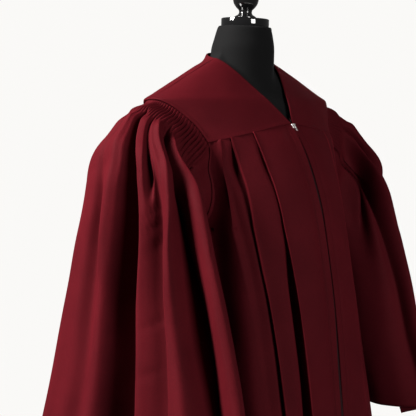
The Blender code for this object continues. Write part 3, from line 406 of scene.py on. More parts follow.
def cloth_mesh(
    node, points, closed, outward, material, shell=SHELL, edge_highlight=None, name=None,
):
    """A thin shell through a grid of points, with the weave's own coordinates in metres, in a node's place.

    outward is 1 if across x down points out of the garment, and -1 if it points in."""
    rows, columns = points.shape[:2]
    around = np.concatenate([points, points[:, :1]], axis=1) if closed else points
    u = lengths(around, 1)
    v = lengths(around, 0)
    across = columns if closed else columns - 1
    i, j = np.meshgrid(np.arange(rows - 1), np.arange(across), indexing="ij")
    k = (j + 1) % columns
    corners = [(i, j, j), (i, k, j + 1), (i + 1, k, j + 1), (i + 1, j, j)]
    if outward < 0:
        corners = corners[::-1]
    faces = np.stack([r * columns + c for r, c, _ in corners], axis=-1).reshape(-1, 4)
    weave = np.stack([np.stack([u[r, w], v[r, w]], axis=-1) for r, _, w in corners], axis=-2).reshape(-1, 2)
    name = name or f"{node}_cloth"
    mesh = bpy.data.meshes.new(name)
    mesh.from_pydata(points.reshape(-1, 3).tolist(), [], faces.tolist())
    mesh.uv_layers.new(name="weave").data.foreach_set("uv", weave.astype(np.float32).ravel())
    # Painted highlight along fold edges, kept on the points to lighten the cloth's colour there.
    painted_highlight = np.zeros((rows, columns), np.float32)
    if edge_highlight is not None:
        painted_highlight[:len(edge_highlight)] = edge_highlight
    mesh.attributes.new("edge_highlight", "FLOAT", "POINT").data.foreach_set("value", painted_highlight.ravel())
    piece = add_piece(name, mesh, material, shell)
    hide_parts(node)
    return piece


BLOCK = np.array([(x, y, z) for z in (-1, 1) for y in (-1, 1) for x in (-1, 1)], float) / 2
BLOCK_FACES = ((0, 2, 3, 1), (4, 5, 7, 6), (0, 1, 5, 4), (2, 6, 7, 3), (0, 4, 6, 2), (1, 3, 7, 5))


def blocks(name, places, size, material):
    """Many small equal blocks as one piece."""
    verts = []
    faces = []
    for place in places:
        start = len(verts)
        verts += [tuple(place @ Vector(corner * np.array(size))) for corner in BLOCK]
        faces += [tuple(start + i for i in face) for face in BLOCK_FACES]
    mesh = bpy.data.meshes.new(name)
    mesh.from_pydata(verts, [], faces)
    piece = add_piece(name, mesh, material)
    mesh.set_sharp_from_angle(angle=math.radians(40))
    return piece


def stitches(node, places, thread):
    blocks(f"{node}_stitches", places, STITCH_SIZE, thread)


def interpolated(at, along, values):
    """Rows of values at places along a line."""
    return np.stack([np.interp(at, along, column) for column in values.T], axis=-1)


def stitch_places(points, normals):
    """Frames along a line of points on the cloth, one for each stitch: x along the line, y out."""
    along = lengths(points[None], 1)[0]
    at = np.arange(STITCH_PITCH, along[-1] - STITCH_PITCH, STITCH_PITCH)
    here = interpolated(at, along, points)
    ahead = interpolated(at + MM, along, points)
    outs = unit(interpolated(at, along, normals))
    places = []
    for point, run, out in zip(here, unit(ahead - here), outs):
        side = unit(np.cross(run, out))
        place = Matrix((run, np.cross(side, run), side)).transposed().to_4x4()
        place.translation = Vector(point + out * 0.1 * MM)
        places.append(place)
    return places


def inset_stitches(points, normals, far, other=None):
    """A line of stitches just in from a grid's last column, and not past the same line on its last row."""
    line = []
    for point, normal, distance, end in zip(points, normals, far, far if other is None else other):
        if other is not None and end[-1] < STITCH_INSET:
            continue
        line.append(interpolated(-STITCH_INSET, -distance, np.concatenate([point, normal], axis=1)))
    line = np.array(line)
    return stitch_places(line[:, :3], line[:, 3:])


# Yokes


def pair(angle, height):
    return np.stack(np.broadcast_arrays(np.asarray(angle, float), np.asarray(height, float)), axis=-1)


def patch(first_edge, last_edge, start_side, end_side, along, across):
    """A grid of angles and heights between four edges."""
    u = along[:, None, None]
    v = across[None, :, None]
    lengthways = first_edge(along)[:, None, :] * (1 - v) + last_edge(along)[:, None, :] * v
    crossways = start_side(across)[None, :, :] * (1 - u) + end_side(across)[None, :, :] * u
    ends = np.array([0.0, 1.0])
    corners = first_edge(ends)[:, None, :] * (1 - v) + last_edge(ends)[:, None, :] * v
    return lengthways + crossways - (corners[0][None] * (1 - u) + corners[1][None] * u)


def shoulder_edge(share):
    return pair(SEAM_TURN, between(NECK_POINT_HEIGHT, SHOULDER_HEIGHT, share))


def armhole_edge(share, turn):
    angle, height = armhole_place(CORNER_AROUND * share * np.sign(turn))
    return pair(angle + SEAM_TURN * (1 - share) * np.sign(turn), height)


def front_neck_edge(share):
    way = np.linspace(0, 1, 500)
    height = between(NECK_POINT_HEIGHT, V_HEIGHT, way)
    x = between(NECK_POINT_X, ZIP_HALF_GAP, way)
    turn = np.maximum.accumulate(np.maximum(angle_at(x, height), SEAM_TURN))
    even = between(turn[0], turn[-1], share**0.85)
    return pair(even, np.interp(even, turn, height))


def front_armhole_edge(share):
    return armhole_edge(share, ARMHOLE_TURN_FRONT)


def front_seam_edge(share):
    x = between(ZIP_HALF_GAP, CORNER_X, share)
    return pair(angle_at(x, seam_height(x)), seam_height(x))


def back_neck_edge(share):
    height = between(NECK_POINT_HEIGHT, NECK_BACK_HEIGHT, np.sin(share * math.pi / 2))
    return pair(-between(SEAM_TURN, math.pi / 2, share), height)


def back_seam_height(angle):
    corner = armhole_turn(YOKE_CORNER_HEIGHT, -ARMHOLE_TURN_BACK)
    share = np.clip((angle - corner) / (-math.pi / 2 - corner), 0, 1)
    return between(YOKE_CORNER_HEIGHT, YOKE_BACK_HEIGHT, np.sin(share * math.pi / 2))


def back_lower_edge(share):
    on_armhole = armhole_edge(np.clip(share / BACK_CORNER_SHARE, 0, 1), -ARMHOLE_TURN_BACK)
    seam = np.clip((share - BACK_CORNER_SHARE) / (1 - BACK_CORNER_SHARE), 0, 1)
    corner = armhole_edge(np.array([1.0]), -ARMHOLE_TURN_BACK)[0]
    angle = between(corner[0], -math.pi / 2, seam)
    return np.where((share > BACK_CORNER_SHARE)[:, None], pair(angle, back_seam_height(angle)), on_armhole)


def back_shoulder_edge(share):
    return shoulder_edge(share) * np.array([-1, 1])


def back_centre_line(share):
    return pair(-math.pi / 2, between(NECK_BACK_HEIGHT, YOKE_BACK_HEIGHT, share))


def edge_distance(points):
    """For each point, its distance in metres from the grid's first and last row and first and last column."""
    across = lengths(points, 1)
    along = lengths(points, 0)
    return along, along[-1:] - along, across, across[:, -1:] - across


def ripple(points, sizes, seed):
    """Slow, small waves of the cloth, the same each run."""
    rng = np.random.default_rng(seed)
    total = np.zeros(points.shape[:-1])
    for size, height in sizes:
        for _ in range(5):
            way = unit(rng.normal(size=3))
            total += height * np.sin(points @ way * math.tau / size + rng.uniform(0, math.tau)) / 2.2
    return total


def rolled(distance, deep, wide):
    """An edge that rolls down to its seam: how deep and from how far in, in mm."""
    return -deep * MM * ease(wide * MM, 0, distance)


def lip(distance, high, rise, level, end):
    """A soft lip over a seam allowance: its height, and how far in it is up, level till and gone (mm)."""
    return high * MM * (ease(0, rise * MM, distance) - ease(level * MM, end * MM, distance))


def yoke_lift(points, waves, seed):
    """How far a yoke's outer face stands off: all that its shoulder, neck and armhole edges have alike."""
    shoulder, _, neck, armhole = edge_distance(points)
    lift = 1.0 * MM + lip(armhole, 0.9, 1.6, 5, 8) + rolled(armhole, 1.0, 1.6)
    lift = lift + lip(neck, 0.45, 1.5, 6, 8) + rolled(neck, 0.8, 1.4) + rolled(shoulder, 0.2, 1.4)
    return lift + ripple(points, waves, seed)


def ease_ends(share):
    """Points closer together at both ends, where edges roll."""
    return share - 0.9 * np.sin(share * math.tau) / math.tau


def build_front_yokes(cloth, thread, across):
    along = ease_ends(np.linspace(0, 1, 72))
    grid = patch(front_neck_edge, front_armhole_edge, shoulder_edge, front_seam_edge, along, across)
    flat, outwards = gown_surface(grid[..., 0], grid[..., 1])
    seam = edge_distance(flat)[1]
    for name, side in SIDES.items():
        lift = yoke_lift(flat, ((0.16, 0.7 * MM), (0.07, 0.25 * MM)), 11 + side)
        lift = lift + rolled(seam, 0.8, 1.2) + lip(seam, 0.5, 1.4, 4, 7)
        points = mirrored(flat + outwards * lift[..., None], side)
        node = f"yoke_front_{name}"
        cloth_mesh(node, points, False, -side, cloth, YOKE_SHELL)
        normals = grid_normals(points) * -side
        _, bottom, _, armhole = edge_distance(points)
        places = inset_stitches(points, normals, armhole, bottom)
        places += inset_stitches(points.swapaxes(0, 1), normals.swapaxes(0, 1), bottom.T, armhole.T)
        stitches(node, places, thread)


def build_back_yoke(cloth, thread, across):
    on_armhole = np.linspace(0, BACK_CORNER_SHARE, 42)
    on_seam = np.linspace(BACK_CORNER_SHARE, 1, 42)[1:]
    along = np.concatenate([on_armhole, on_seam])
    grid = patch(back_neck_edge, back_lower_edge, back_shoulder_edge, back_centre_line, along, across)
    halves = gown_surface(grid[..., 0], grid[..., 1])
    whole, outwards = (np.concatenate([half, mirrored(half)[-2::-1]]) for half in halves)
    lift = yoke_lift(whole, ((0.2, 0.8 * MM), (0.08, 0.3 * MM)), 15)
    lift = lift + rolled(edge_distance(whole)[1], 0.2, 1.4)
    points = whole + outwards * lift[..., None]
    cloth_mesh("yoke_back", points, False, 1, cloth, YOKE_SHELL)
    places = inset_stitches(points, grid_normals(points), edge_distance(points)[3])
    stitches("yoke_back", places, thread)


# Fronts and back


def rounded(points, steps):
    """A smooth curve that rounds the corners of rows of control points, the same number of points in each."""
    last = points[..., -1:, :]
    middles = (points[..., 1:, :] + points[..., :-1, :]) / 2
    starts = np.concatenate([points[..., :1, :], middles[..., 1:-1, :]], axis=-2)
    ends = np.concatenate([middles[..., 1:-1, :], last], axis=-2)
    t = np.arange(steps)[:, None] / steps
    pieces = []
    for i in range(starts.shape[-2]):
        a, b, c = (part[..., i, None, :] for part in (starts, points[..., 1:, :], ends))
        pieces.append(a * (1 - t) ** 2 + 2 * b * t * (1 - t) + c * t * t)
    return np.concatenate(pieces + [last], axis=-2)


def front_section(height, proud):
    """x and outward lift from the zip to just past the last knife pleat."""
    fall = down_share(height)
    points = [
        (0.0, -1.2 * MM), (0.2 * MM, 0.5 * MM + proud), (2.5 * MM, 1.0 * MM + proud),
        (9 * MM, 0.6 * MM + 0.5 * proud), (PLACKET_WIDTH - 4 * MM, 0.9 * MM),
        (PLACKET_WIDTH - 1 * MM, -1.7 * MM * ease(0.0, 0.06, fall)),
        (PLACKET_WIDTH + 2.5 * MM, 0.2 * MM), (PLACKET_WIDTH + 12 * MM, 1.6 * MM),
    ]
    under = 0.5 * between(*KNIFE_UNDER, fall)
    for pleat in KNIFE_PLEATS:
        edge, layer = (smooth_curve(KNIFE_HEIGHTS, pleat[name], height) for name in ("x", "layer"))
        slot, wide = (smooth_curve(SLOT_HEIGHTS, pleat[name], height) * MM for name in ("slot", "wide"))
        points += [
            (edge - under - 10 * MM, 1.0 * layer),
            (edge - 0.8 * under, 1.5 * layer),
            (edge - 3.5 * MM, 2.0 * layer),
            (edge - 1.2 * MM, 2.2 * layer + 0.6 * MM),
            (edge + 0.3 * MM, 2.0 * layer + 0.3 * MM),
            (edge - 0.2 * MM, 1.0 * layer),
            (edge - 2.2 * MM, -0.4 * layer - 0.4 * slot),
            (edge - 2.0 * MM, -0.6 * layer - 0.9 * slot),
            (edge + 0.35 * wide, -0.6 * layer - slot),
            (edge + 0.9 * wide, -0.3 * layer - 0.75 * slot),
            (edge + wide + 1.5 * MM, 0.1 * layer),
            (edge + wide + 10 * MM, 0.6 * layer),
        ]
    return points


def bell(distance, wide):
    return np.exp(-((distance / wide) ** 2))


def front_outer_lift(x, share, height):
    """Soft folds between the last knife pleat and the side seam."""
    fall = down_share(height)
    ridge = smooth_curve(RIDGE_HEIGHTS, RIDGE_X, height)
    wide = 11 * MM + 22 * MM * ease(0.3, 1.0, fall)
    high = 2 * MM + 9 * MM * ease(0.01, 0.12, fall) + 14 * MM * ease(0.4, 1.0, fall)
    deep = 2 * MM + 5 * MM * ease(0.02, 0.2, fall)
    first = high * bell(x - ridge, wide) - deep * bell(x - ridge - 1.75 * wide, 0.7 * wide)
    later = 3 * MM * ease(0.1, 0.3, fall) + 22 * MM * ease(0.52, 1.0, fall)
    waves = np.sin((share - 0.48) * math.tau * 1.5) * ease(0.48, 0.65, share)
    fade = hump(0.0, 0.004, 0.02, 0.075, fall)
    return first + later * waves + 0.6 * MM * np.sin(x * math.tau / GATHER_PITCH) * fade


def panel_points(angle, height, lift):
    """Points off the gown's surface by their lift, tucked a little under the yoke at the top."""
    points, outwards = gown_surface(angle, height)
    tuck = 1.6 * MM * ease(0.035, 0.0, down_share(height))
    return points + unit(outwards * np.array([1, 1, 0])) * (lift + 0.6 * MM - tuck)[:, None]


def panel_rows(rows):
    """The heights of a panel's rows at its outer edge, close together near the seam."""
    around = np.radians(77 + 103 * np.linspace(0, 1, rows // 3) ** 1.15)
    below = np.linspace(UNDERARM_HEIGHT, HEM_HEIGHT, rows - rows // 3 + 1)[1:]
    heights = np.concatenate([armhole_place(around)[1], below])
    return heights, (heights - HEM_HEIGHT) / (heights[0] - HEM_HEIGHT)


def panel_edge_turn(height, turn):
    """The angle of a panel's side edge. Below the armhole the front laps past the back's edge."""
    if height <= UNDERARM_HEIGHT + 1e-9:
        return -SIDE_LAP if turn > 0 else -SIDE_TURN
    return max(abs(float(armhole_turn(height, turn))), SIDE_TURN) * np.sign(turn)


def waved(points, outward, sizes, seed, side_distance):
    """Slow waves, long down the cloth, that fade towards the yoke and the side edges."""
    waves = ripple(points * np.array([1, 1, 0.45]), sizes, seed)
    waves = waves * ease(0.0, 0.04, down_share(points[..., 2])) * ease(0, WAVE_FADE, side_distance)
    return points + grid_normals(points) * (waves * outward)[..., None]


def front_row(section, share, edge_height, gaps):
    """One row of the front from the zip to the side edge, and how much painted highlight its points get along
    the knife pleats' fold edges.
    """
    x, proud = section.T
    height = between(HEM_HEIGHT, seam_height(x), share)
    # Painted highlight: a narrow band of lighter colour on each knife pleat's fold edge, where the top layer
    # stands out.
    edge_highlight = np.zeros(len(x) + len(OUTER_STEPS))
    for pleat in KNIFE_PLEATS:
        edge = smooth_curve(KNIFE_HEIGHTS, pleat["x"], height)
        edge_highlight[:len(x)] += bell(x - edge, EDGE_HIGHLIGHT_WIDTH) * (proud > 0)
    angle = angle_at(x + smooth_curve(GAP_HEIGHTS, gaps, height) * MM, height)
    edge = panel_edge_turn(edge_height, ARMHOLE_TURN_FRONT)
    outer_angle = between(angle[-1], edge, OUTER_STEPS)
    outer_height = between(height[-1], edge_height, OUTER_STEPS)
    outer_x = ring_point(outer_angle, outer_height)[:, 0]
    folds = front_outer_lift(outer_x, 1 - outer_angle / (angle[-1] + 1e-9), outer_height)
    folds = folds * hump(-0.02, 0.10, 0.9, 1.0, OUTER_STEPS)
    lift = np.append(proud, proud[-1] * ease(0.14, 0.0, OUTER_STEPS) + folds)
    return panel_points(np.append(angle, outer_angle), np.append(height, outer_height), lift), edge_highlight


def front_panel(seed, proud, gaps):
    """The left front's outer face, row by row from under the yoke to the hem."""
    edge_heights, shares = panel_rows(132)
    sections = [front_section(between(HEM_HEIGHT, V_HEIGHT, share), proud) for share in shares]
    rows = [front_row(*row, gaps) for row in zip(rounded(np.array(sections), 4), shares, edge_heights)]
    points, edge_highlight = (np.array(part) for part in zip(*rows))
    sizes = ((0.13, 1.1 * MM), (0.05, 0.35 * MM))
    return waved(points, -1, sizes, seed, edge_distance(points)[3]), edge_highlight


def back_fold(angle, share, height):
    """The back's gathers: uneven in depth and spacing, flat at the panel's side edges."""
    fall = down_share(height)
    depth = 3.0 * MM + 8 * MM * ease(0.03, 0.30, fall) + 18 * MM * ease(0.35, 1.0, fall)
    round_back = -angle / math.pi
    phase = math.tau * BACK_FOLDS * (round_back + 0.012 * np.sin(round_back * math.tau * 2))
    edges = hump(0.0, 0.05, 0.95, 1.0, share)
    main = 0.5 - 0.5 * np.cos(phase)
    uneven = 1 + 0.22 * np.sin(round_back * 17.3) + 0.12 * np.sin(round_back * 31)
    fine = 1.5 * MM * np.sin(round_back * math.tau * 34 + 2 * np.sin(round_back * 9)) * ease(0.16, 0.02, fall)
    creases = 1.6 * MM * np.sin(phase * 2.5 + 1.1) * ease(0.05, 0.2, fall)
    return (-depth * main**1.25 * uneven + fine + creases) * edges


def back_panel():
    share_across = np.linspace(0, 1, 250)
    rows = []
    for edge_height, share in zip(*panel_rows(120)):
        edge = panel_edge_turn(edge_height, -ARMHOLE_TURN_BACK)
        angle = between(edge, -math.pi - edge, share_across)
        near = np.where(angle < -math.pi / 2, -math.pi - angle, angle)
        full = between(HEM_HEIGHT, back_seam_height(near), share)
        height = np.where(np.abs(near - edge) < 1e-6, edge_height, full)
        rows.append(panel_points(angle, height, back_fold(angle, share_across, height)))
    points = np.array(rows)
    _, _, one_side, other_side = edge_distance(points)
    return waved(points, 1, ((0.15, 1.2 * MM), (0.06, 0.4 * MM)), 31, np.minimum(one_side, other_side))


def tucked(points, inward):
    """A row above the first one, which slips in under the yoke's edge."""
    inwards = grid_normals(points)[0] * inward
    up = unit(points[0] - points[1])
    return np.concatenate([[points[0] + up * 2.2 * MM + inwards * 0.9 * MM], points])


def build_panel(node, points, outward, cloth, edge_highlight=None):
    """A panel with its turned-up hem, and its normals and hem stitches."""
    whole = with_hem(points, False, outward, BODY_HEM)
    cloth_mesh(node, whole, False, outward, cloth, edge_highlight=edge_highlight)
    normals = grid_normals(points) * outward
    return normals, stitch_places(points[HEM_ROW], normals[HEM_ROW])


def build_panels(cloth, thread):
    for (name, side), seed in zip(SIDES.items(), (21, 22)):
        # The fronts carry the painted highlight of their fold edges.
        points, edge_highlight = front_panel(seed, PROUD[name], GAP_WIDTHS[name])
        points = mirrored(tucked(points, 1), side)
        edge_highlight = np.concatenate([edge_highlight[:1], edge_highlight])
        normals, places = build_panel(f"front_{name}", points, -side, cloth, edge_highlight)
        places += stitch_places(points[2:-2, PLACKET_COLUMN], normals[2:-2, PLACKET_COLUMN])
        stitches(f"front_{name}", places, thread)
    _, places = build_panel("back", tucked(back_panel(), -1), 1, cloth)
    stitches("back", places, thread)


# Sleeves


def tube_point(angle, height):
    names = ("centre_x", "half_width", "half_depth", "centre_y")
    centre_x, wide, deep, centre_y = (table_value(SLEEVE_RINGS, name, height) for name in names)
    return np.stack([centre_x + wide * np.cos(angle), centre_y - deep * np.sin(angle), height], axis=-1)


def sleeve_turns():
    """Angles at the armhole and down the tube, and each point's place in its small pleat."""
    count = PLEATS * PLEAT_POINTS
    pleated = np.linspace(-1, 1, count + 1)
    plain = np.linspace(0, 1, UNDERARM_POINTS + 2)[1:-1]
    at_armhole, on_tube = (
        np.concatenate([pleated * end, end + plain * 2 * (math.pi - end)])
        for end in (PLEATED_TURN, SPREAD_TURN)
    )
    place = np.concatenate([np.arange(count + 1) / PLEAT_POINTS, np.zeros(UNDERARM_POINTS)])
    return at_armhole, on_tube, place


def sleeve_ways():
    """Places down the head, closest at the armhole, and down the tube."""
    stretches = ((0, 0.10, 7), (0.10, 0.62, 30), (0.62, 1.0, 20))
    head = np.concatenate([[0]] + [np.linspace(*stretch)[1:] for stretch in stretches])
    return head, np.linspace(0, 1, 62)[1:]


def armhole_frame(around):
    """A point of the armhole, the way out of the gown there and the way into the hole."""
    point, normal = gown_surface(*armhole_place(around))
    before, after = (ring_point(*armhole_place(around + turn)) for turn in (-0.02, 0.02))
    return point, normal, unit(np.cross(normal, after - before))


def sweep_aside(at_armhole):
    """How far the pleats are swept round the armhole, most halfway between the shoulder and the underarm."""
    spread = from_zero(at_armhole) / PLEATED_TURN
    size = np.sin(np.minimum(spread, 1) * math.pi * 0.72) * ease(1.25, 1.0, spread)
    return size * SWEEP * np.sign(np.sin(at_armhole))


def sleeve_base():
    """The left sleeve without its folds, from the armhole to the cuff."""
    at_armhole, on_tube, _ = sleeve_turns()
    start, normal, into_hole = armhole_frame(at_armhole)
    cosine = np.cos(at_armhole)
    leave = unit(np.stack([0.62 + 0.13 * cosine, -0.6 * np.sin(at_armhole), -0.7 + 0.1 * cosine], axis=-1))
    leave = unit(leave + 0.55 * into_hole)
    under = start - into_hole * 2.0 * MM - normal * 2.6 * MM
    start = start + into_hole * 1.6 * MM + leave * 0.8 * MM - normal * 1.0 * MM
    end_height = HEAD_END_MIDDLE + HEAD_END_SWING * np.cos(on_tube)
    end = tube_point(on_tube, end_height)
    fall = unit(tube_point(on_tube, end_height - 0.02) - end)
    reach = 0.48 * np.linalg.norm(end - start, axis=-1, keepdims=True)
    head, tube = sleeve_ways()
    rows = [under]
    sideways = sweep_aside(at_armhole)
    order = np.argsort(at_armhole)
    keys = np.concatenate([at_armhole[order] + turn for turn in (-math.tau, 0, math.tau)])
    for t in head:
        shifted = at_armhole - sideways * hump(0.0, 0.26, 0.34, 0.80, t)
        row = start * (1 - t) ** 3 + (start + leave * reach) * 3 * t * (1 - t) ** 2
        row = row + (end - fall * reach) * 3 * t * t * (1 - t) + end * t**3
        rows.append(interpolated(shifted, keys, np.tile(row[order], (3, 1))))
    for share in tube:
        rows.append(tube_point(on_tube, between(end_height, CUFF_HEIGHT, share)))
    return np.array(rows), np.concatenate([[0], head, 1 + tube])


def turned(angle, middle):
    """Degrees from one angle to another, the short way round."""
    return (angle - middle + 180) % 360 - 180


def fold_value(values, height):
    return smooth_curve(FOLD_HEIGHTS, np.broadcast_to(values, len(FOLD_HEIGHTS)), height)


def sleeve_folds(angle, height, way, wander, seed):
    """How far in the cloth lies, from the tables of folds and creases, which wander on the hidden sleeve."""
    rng = np.random.default_rng(seed)
    inwards = np.zeros_like(height)
    for angles, depths, lows, highs, power in SLEEVE_FOLDS:
        shift, scale = rng.uniform(-1, 1, 2) * wander
        sway = (0.8 + 1.2 * wander) * np.sin(height * 19 + 7 * shift + FOLD_SWAY_PHASE)
        apart = turned(angle, fold_value(angles, height) + 5 * shift + sway)
        wide = np.where(apart < 0, fold_value(lows, height), fold_value(highs, height))
        shape = np.exp(-np.abs(apart / wide) ** np.where(apart < 0, power, 2))
        depth = fold_value(depths, height) * MM * (1 + 0.3 * scale)
        inwards += depth * shape * ease(0.12, 0.40, way)
    for middle, middle_height, run, length, wide, depth in SLEEVE_CREASES:
        shift, scale = rng.uniform(-1, 1, 2) * wander
        across = turned(angle, middle + 6 * shift) * CREASE_SCALE
        up = height - middle_height - 0.03 * scale
        cosine, sine = math.cos(math.radians(run)), math.sin(math.radians(run))
        along = across * cosine + up * sine
        beside = -across * sine + up * cosine
        inwards += depth * MM * bell(along, length * MM / 2) * bell(beside, wide * MM / 2)
    return inwards


def small_pleats(way, at_armhole, place, seed):
    """The cartridge pleats: rounded ridges with sharp valleys, let go at uneven lengths."""
    rng = np.random.default_rng(seed)
    by_pleat = PLEAT_LENGTH + rng.uniform(-0.06, 0.06, PLEATS + 1)
    number = np.clip(np.floor(place).astype(int), 0, PLEATS - 1)
    length = by_pleat[number] * (1 - (place - number)) + by_pleat[number + 1] * (place - number)
    profile = 2 * np.abs(np.sin(place * math.pi)) ** 0.8 - 1
    profile = np.where(np.arange(len(place)) > PLEATS * PLEAT_POINTS, 0, profile)
    near_top = 0.70 + 0.30 * ease(0, math.radians(30), np.abs(at_armhole))
    strength = (0.30 + 0.70 * ease(0.0, 0.06, way))[:, None] * ease(1.25, 0.40, way[:, None] / length[None])
    return profile[None] * PLEAT_DEPTH * near_top[None] * strength


def head_puff(at_armhole, on_tube, angle, ways):
    """The head stands out between its pleats and the tube, and most of all at the shoulder."""
    pleated = ease(SPREAD_TURN + 0.05, SPREAD_TURN - 0.25, from_zero(on_tube))
    puff = 7 * MM * hump(0.20, 0.40, 0.75, 1.15, ways) * pleated[None] * ease(104, 76, angle)
    top = ease(math.radians(80), math.radians(30), from_zero(at_armhole))
    return puff + 13 * MM * hump(0.0, 0.16, 0.24, 0.66, ways) * top[None]


def sleeve_points(wander, seed):
    at_armhole, on_tube, place = sleeve_turns()
    base, way = sleeve_base()
    outward = grid_normals(base, True)
    outward[0] = outward[1]
    angle = np.broadcast_to(np.degrees(on_tube), base.shape[:2])
    ways = np.broadcast_to(way[:, None], base.shape[:2])
    folds = sleeve_folds(angle, base[..., 2], ways, wander, seed)
    puff = head_puff(at_armhole, on_tube, angle, ways)
    lift = small_pleats(way, at_armhole, place, seed + 1) - folds + puff
    lift[0] = 0
    points = base + outward * lift[..., None]
    waves = ripple(points * np.array([1, 1, 0.4]), ((0.12, 1.3 * MM), (0.05, 0.4 * MM)), seed + 2)
    return points + grid_normals(points, True) * (waves * ease(0.4, 0.8, ways))[..., None]


def build_sleeves(cloth, thread):
    for (name, side), wander, seed in zip(SIDES.items(), (1.0, 0.0), (44, 41)):
        points = mirrored(sleeve_points(wander, seed), side)
        node = f"sleeve_{name}"
        cloth_mesh(node, with_hem(points, True, side, CUFF_HEM), True, side, cloth)
        normals = grid_normals(points, True)[CUFF_ROW] * side
        stitches(node, stitch_places(points[CUFF_ROW], normals), thread)


# Form and stand


def towards(ring, share, rise=0.0):
    """A ring drawn in towards its middle."""
    return ring + (ring.mean(axis=0) - ring) * share + np.array([0, 0, rise])


def form_ring(height, angles):
    """The form's outline at a height, blended with the round neck."""
    ring = ring_point(angles, height, FORM_RINGS)
    radius, middle = (float(table_value(NECK_RINGS, name, height)) for name in ("radius", "centre_y"))
    centre = np.array([0.0, middle, height])
    reach = np.linalg.norm(ring - centre, axis=1, keepdims=True)
    if height > NECK_RINGS["height"][0]:
        power = NECK_BLEND_POWER
        ring = centre + (ring - centre) / reach * (reach**power + radius**power) ** (1 / power)
    ring[:, 2] += (ring[:, 1] - middle) * math.tan(NECK_TILT) * float(ease(1.462, 1.500, height))
    return ring


def form_points():
    heights = np.unique(np.concatenate([np.linspace(0.765, 1.40, 40), np.linspace(1.40, 1.503, 30)]))
    angles = np.linspace(0, math.tau, TURNED_STEPS, endpoint=False)
    rings = [form_ring(height, angles) for height in heights]
    low = rings[0]
    top = rings[-1]
    under = [towards(low, 0.9), towards(low, 0.3), towards(low, 0.015, -0.0005)]
    over = [towards(top, 0.02), towards(top, 0.05, 0.0002), towards(top, 0.5, 0.0002)]
    return np.array(under + rings[:-1] + over)


def fine_profile(radius, height, steps):
    """A smooth outline through a short profile."""
    along = lengths(np.stack([radius, height], axis=-1), 0)
    at = np.linspace(0, along[-1], steps)
    return np.stack([smooth_curve(along, radius, at), smooth_curve(along, height, at)], axis=-1)


def lathe(node, profile, place, material):
    """A turned piece on the neck's top."""
    angles = np.linspace(0, math.tau, TURNED_STEPS, endpoint=False)
    radius, height = np.array(profile, float).T[..., None]
    radius = np.maximum(radius, 1e-5)
    parts = np.broadcast_arrays(radius * np.cos(angles), radius * np.sin(angles), height)
    points = np.stack(parts, axis=-1)
    points = np.array([place @ Vector(point) for point in points.reshape(-1, 3)]).reshape(points.shape)
    piece = cloth_mesh(node, points, True, 1, material, 0, name=f"{node}_gloss")
    piece.data.set_sharp_from_angle(angle=math.radians(35))


def build_stand(gloss):
    top = Matrix.Translation((0, NECK_RINGS["centre_y"][-1], FORM_RINGS["height"][-1]))
    place = top @ Matrix.Rotation(NECK_TILT, 4, "X")
    half = CAP_RADIUS
    thick = CAP_THICKNESS
    cap = [
        (0, SEAT_GAP), (half - 0.0010, SEAT_GAP), (half - 0.0003, 0.0006), (half, 0.0015),
        (half, thick - 0.0012), (half - 0.0004, thick - 0.0004), (half - 0.0012, thick), (0, thick),
    ]
    lathe("neck_cap", cap[::-1], place, gloss)
    seat = thick + SEAT_GAP
    finial = fine_profile(FINIAL_PROFILE["radius"][1:], seat + FINIAL_PROFILE["height"][1:], 60)
    lathe("finial", np.concatenate([[(0, seat)], finial])[::-1], place, gloss)


# Zip


def centre_front(height):
    """A frame on the gown's centre front: x to the wearer's right, y out, z up."""
    low, high = (Vector(ring_point(math.pi / 2, height + step)) for step in (-2 * MM, 2 * MM))
    up = (high - low).normalized()
    right = Vector((-1, 0, 0))
    place = Matrix((right, up.cross(right), up)).transposed().to_4x4()
    place.translation = (low + high) / 2
    return place


def build_teeth(material):
    """The zip's teeth, by turns a little to the left and to the right of the middle."""
    places = []
    for i in range(int((SLIDER_HEIGHT - LOWEST_TOOTH) / TOOTH_PITCH)):
        side = 1 if i % 2 else -1
        place = centre_front(LOWEST_TOOTH + i * TOOTH_PITCH)
        places.append(place @ Matrix.Translation((side * 0.55 * MM, -1.6 * MM, 0)))
    blocks("zip_teeth", places, TOOTH_SIZE, material)


# Materials


class Nodes:
    """Short names for wiring a material or a world."""

    def __init__(self, owner, shader="Principled BSDF"):
        owner.use_nodes = True
        self.owner = owner
        self.tree = owner.node_tree
        self.shader = self.tree.nodes[shader]

    def give(self, socket, value):
        if isinstance(value, bpy.types.NodeSocket):
            self.tree.links.new(value, socket)
        else:
            socket.default_value = value

    def add(self, kind, inputs=(), **settings):
        node = self.tree.nodes.new(kind)
        for key, value in settings.items():
            setattr(node, key, value)
        for key, value in dict(inputs).items():
            self.give(node.inputs[key], value)
        return node

    def set(self, **values):
        for key, value in values.items():
            self.give(self.shader.inputs[key.replace("_", " ")], value)

    def place(self):
        return self.add("ShaderNodeTexCoord").outputs["Object"]

    def math(self, operation, a, b=0.0):
        return self.add("ShaderNodeMath", {0: a, 1: b}, operation=operation).outputs[0]

    def plus(self, total, value, weight):
        return self.math("ADD", total, self.math("MULTIPLY", value, weight))

    def spread(self, value, first, last, low=0.0, high=1.0, smooth="LINEAR"):
        """A value between low and high, spread from first to last."""
        inputs = {"Value": value, "From Min": low, "From Max": high, "To Min": first, "To Max": last}
        return self.add("ShaderNodeMapRange", inputs, interpolation_type=smooth).outputs[0]

    def noise(self, vector, scale, detail=2.0, roughness=0.5):
        inputs = {"Vector": vector, "Scale": scale, "Detail": detail, "Roughness": roughness}
        return self.add("ShaderNodeTexNoise", inputs).outputs["Fac"]

    def blend(self, factor, first, second, clamp=True):
        inputs = {0: factor, 6: (*first, 1), 7: (*second, 1)}
        return self.add("ShaderNodeMix", inputs, data_type="RGBA", clamp_factor=clamp).outputs[2]

    def bump(self, height, strength, distance):
        node = self.add("ShaderNodeBump", {"Height": height, "Strength": strength, "Distance": distance})
        self.set(Normal=node.outputs[0])


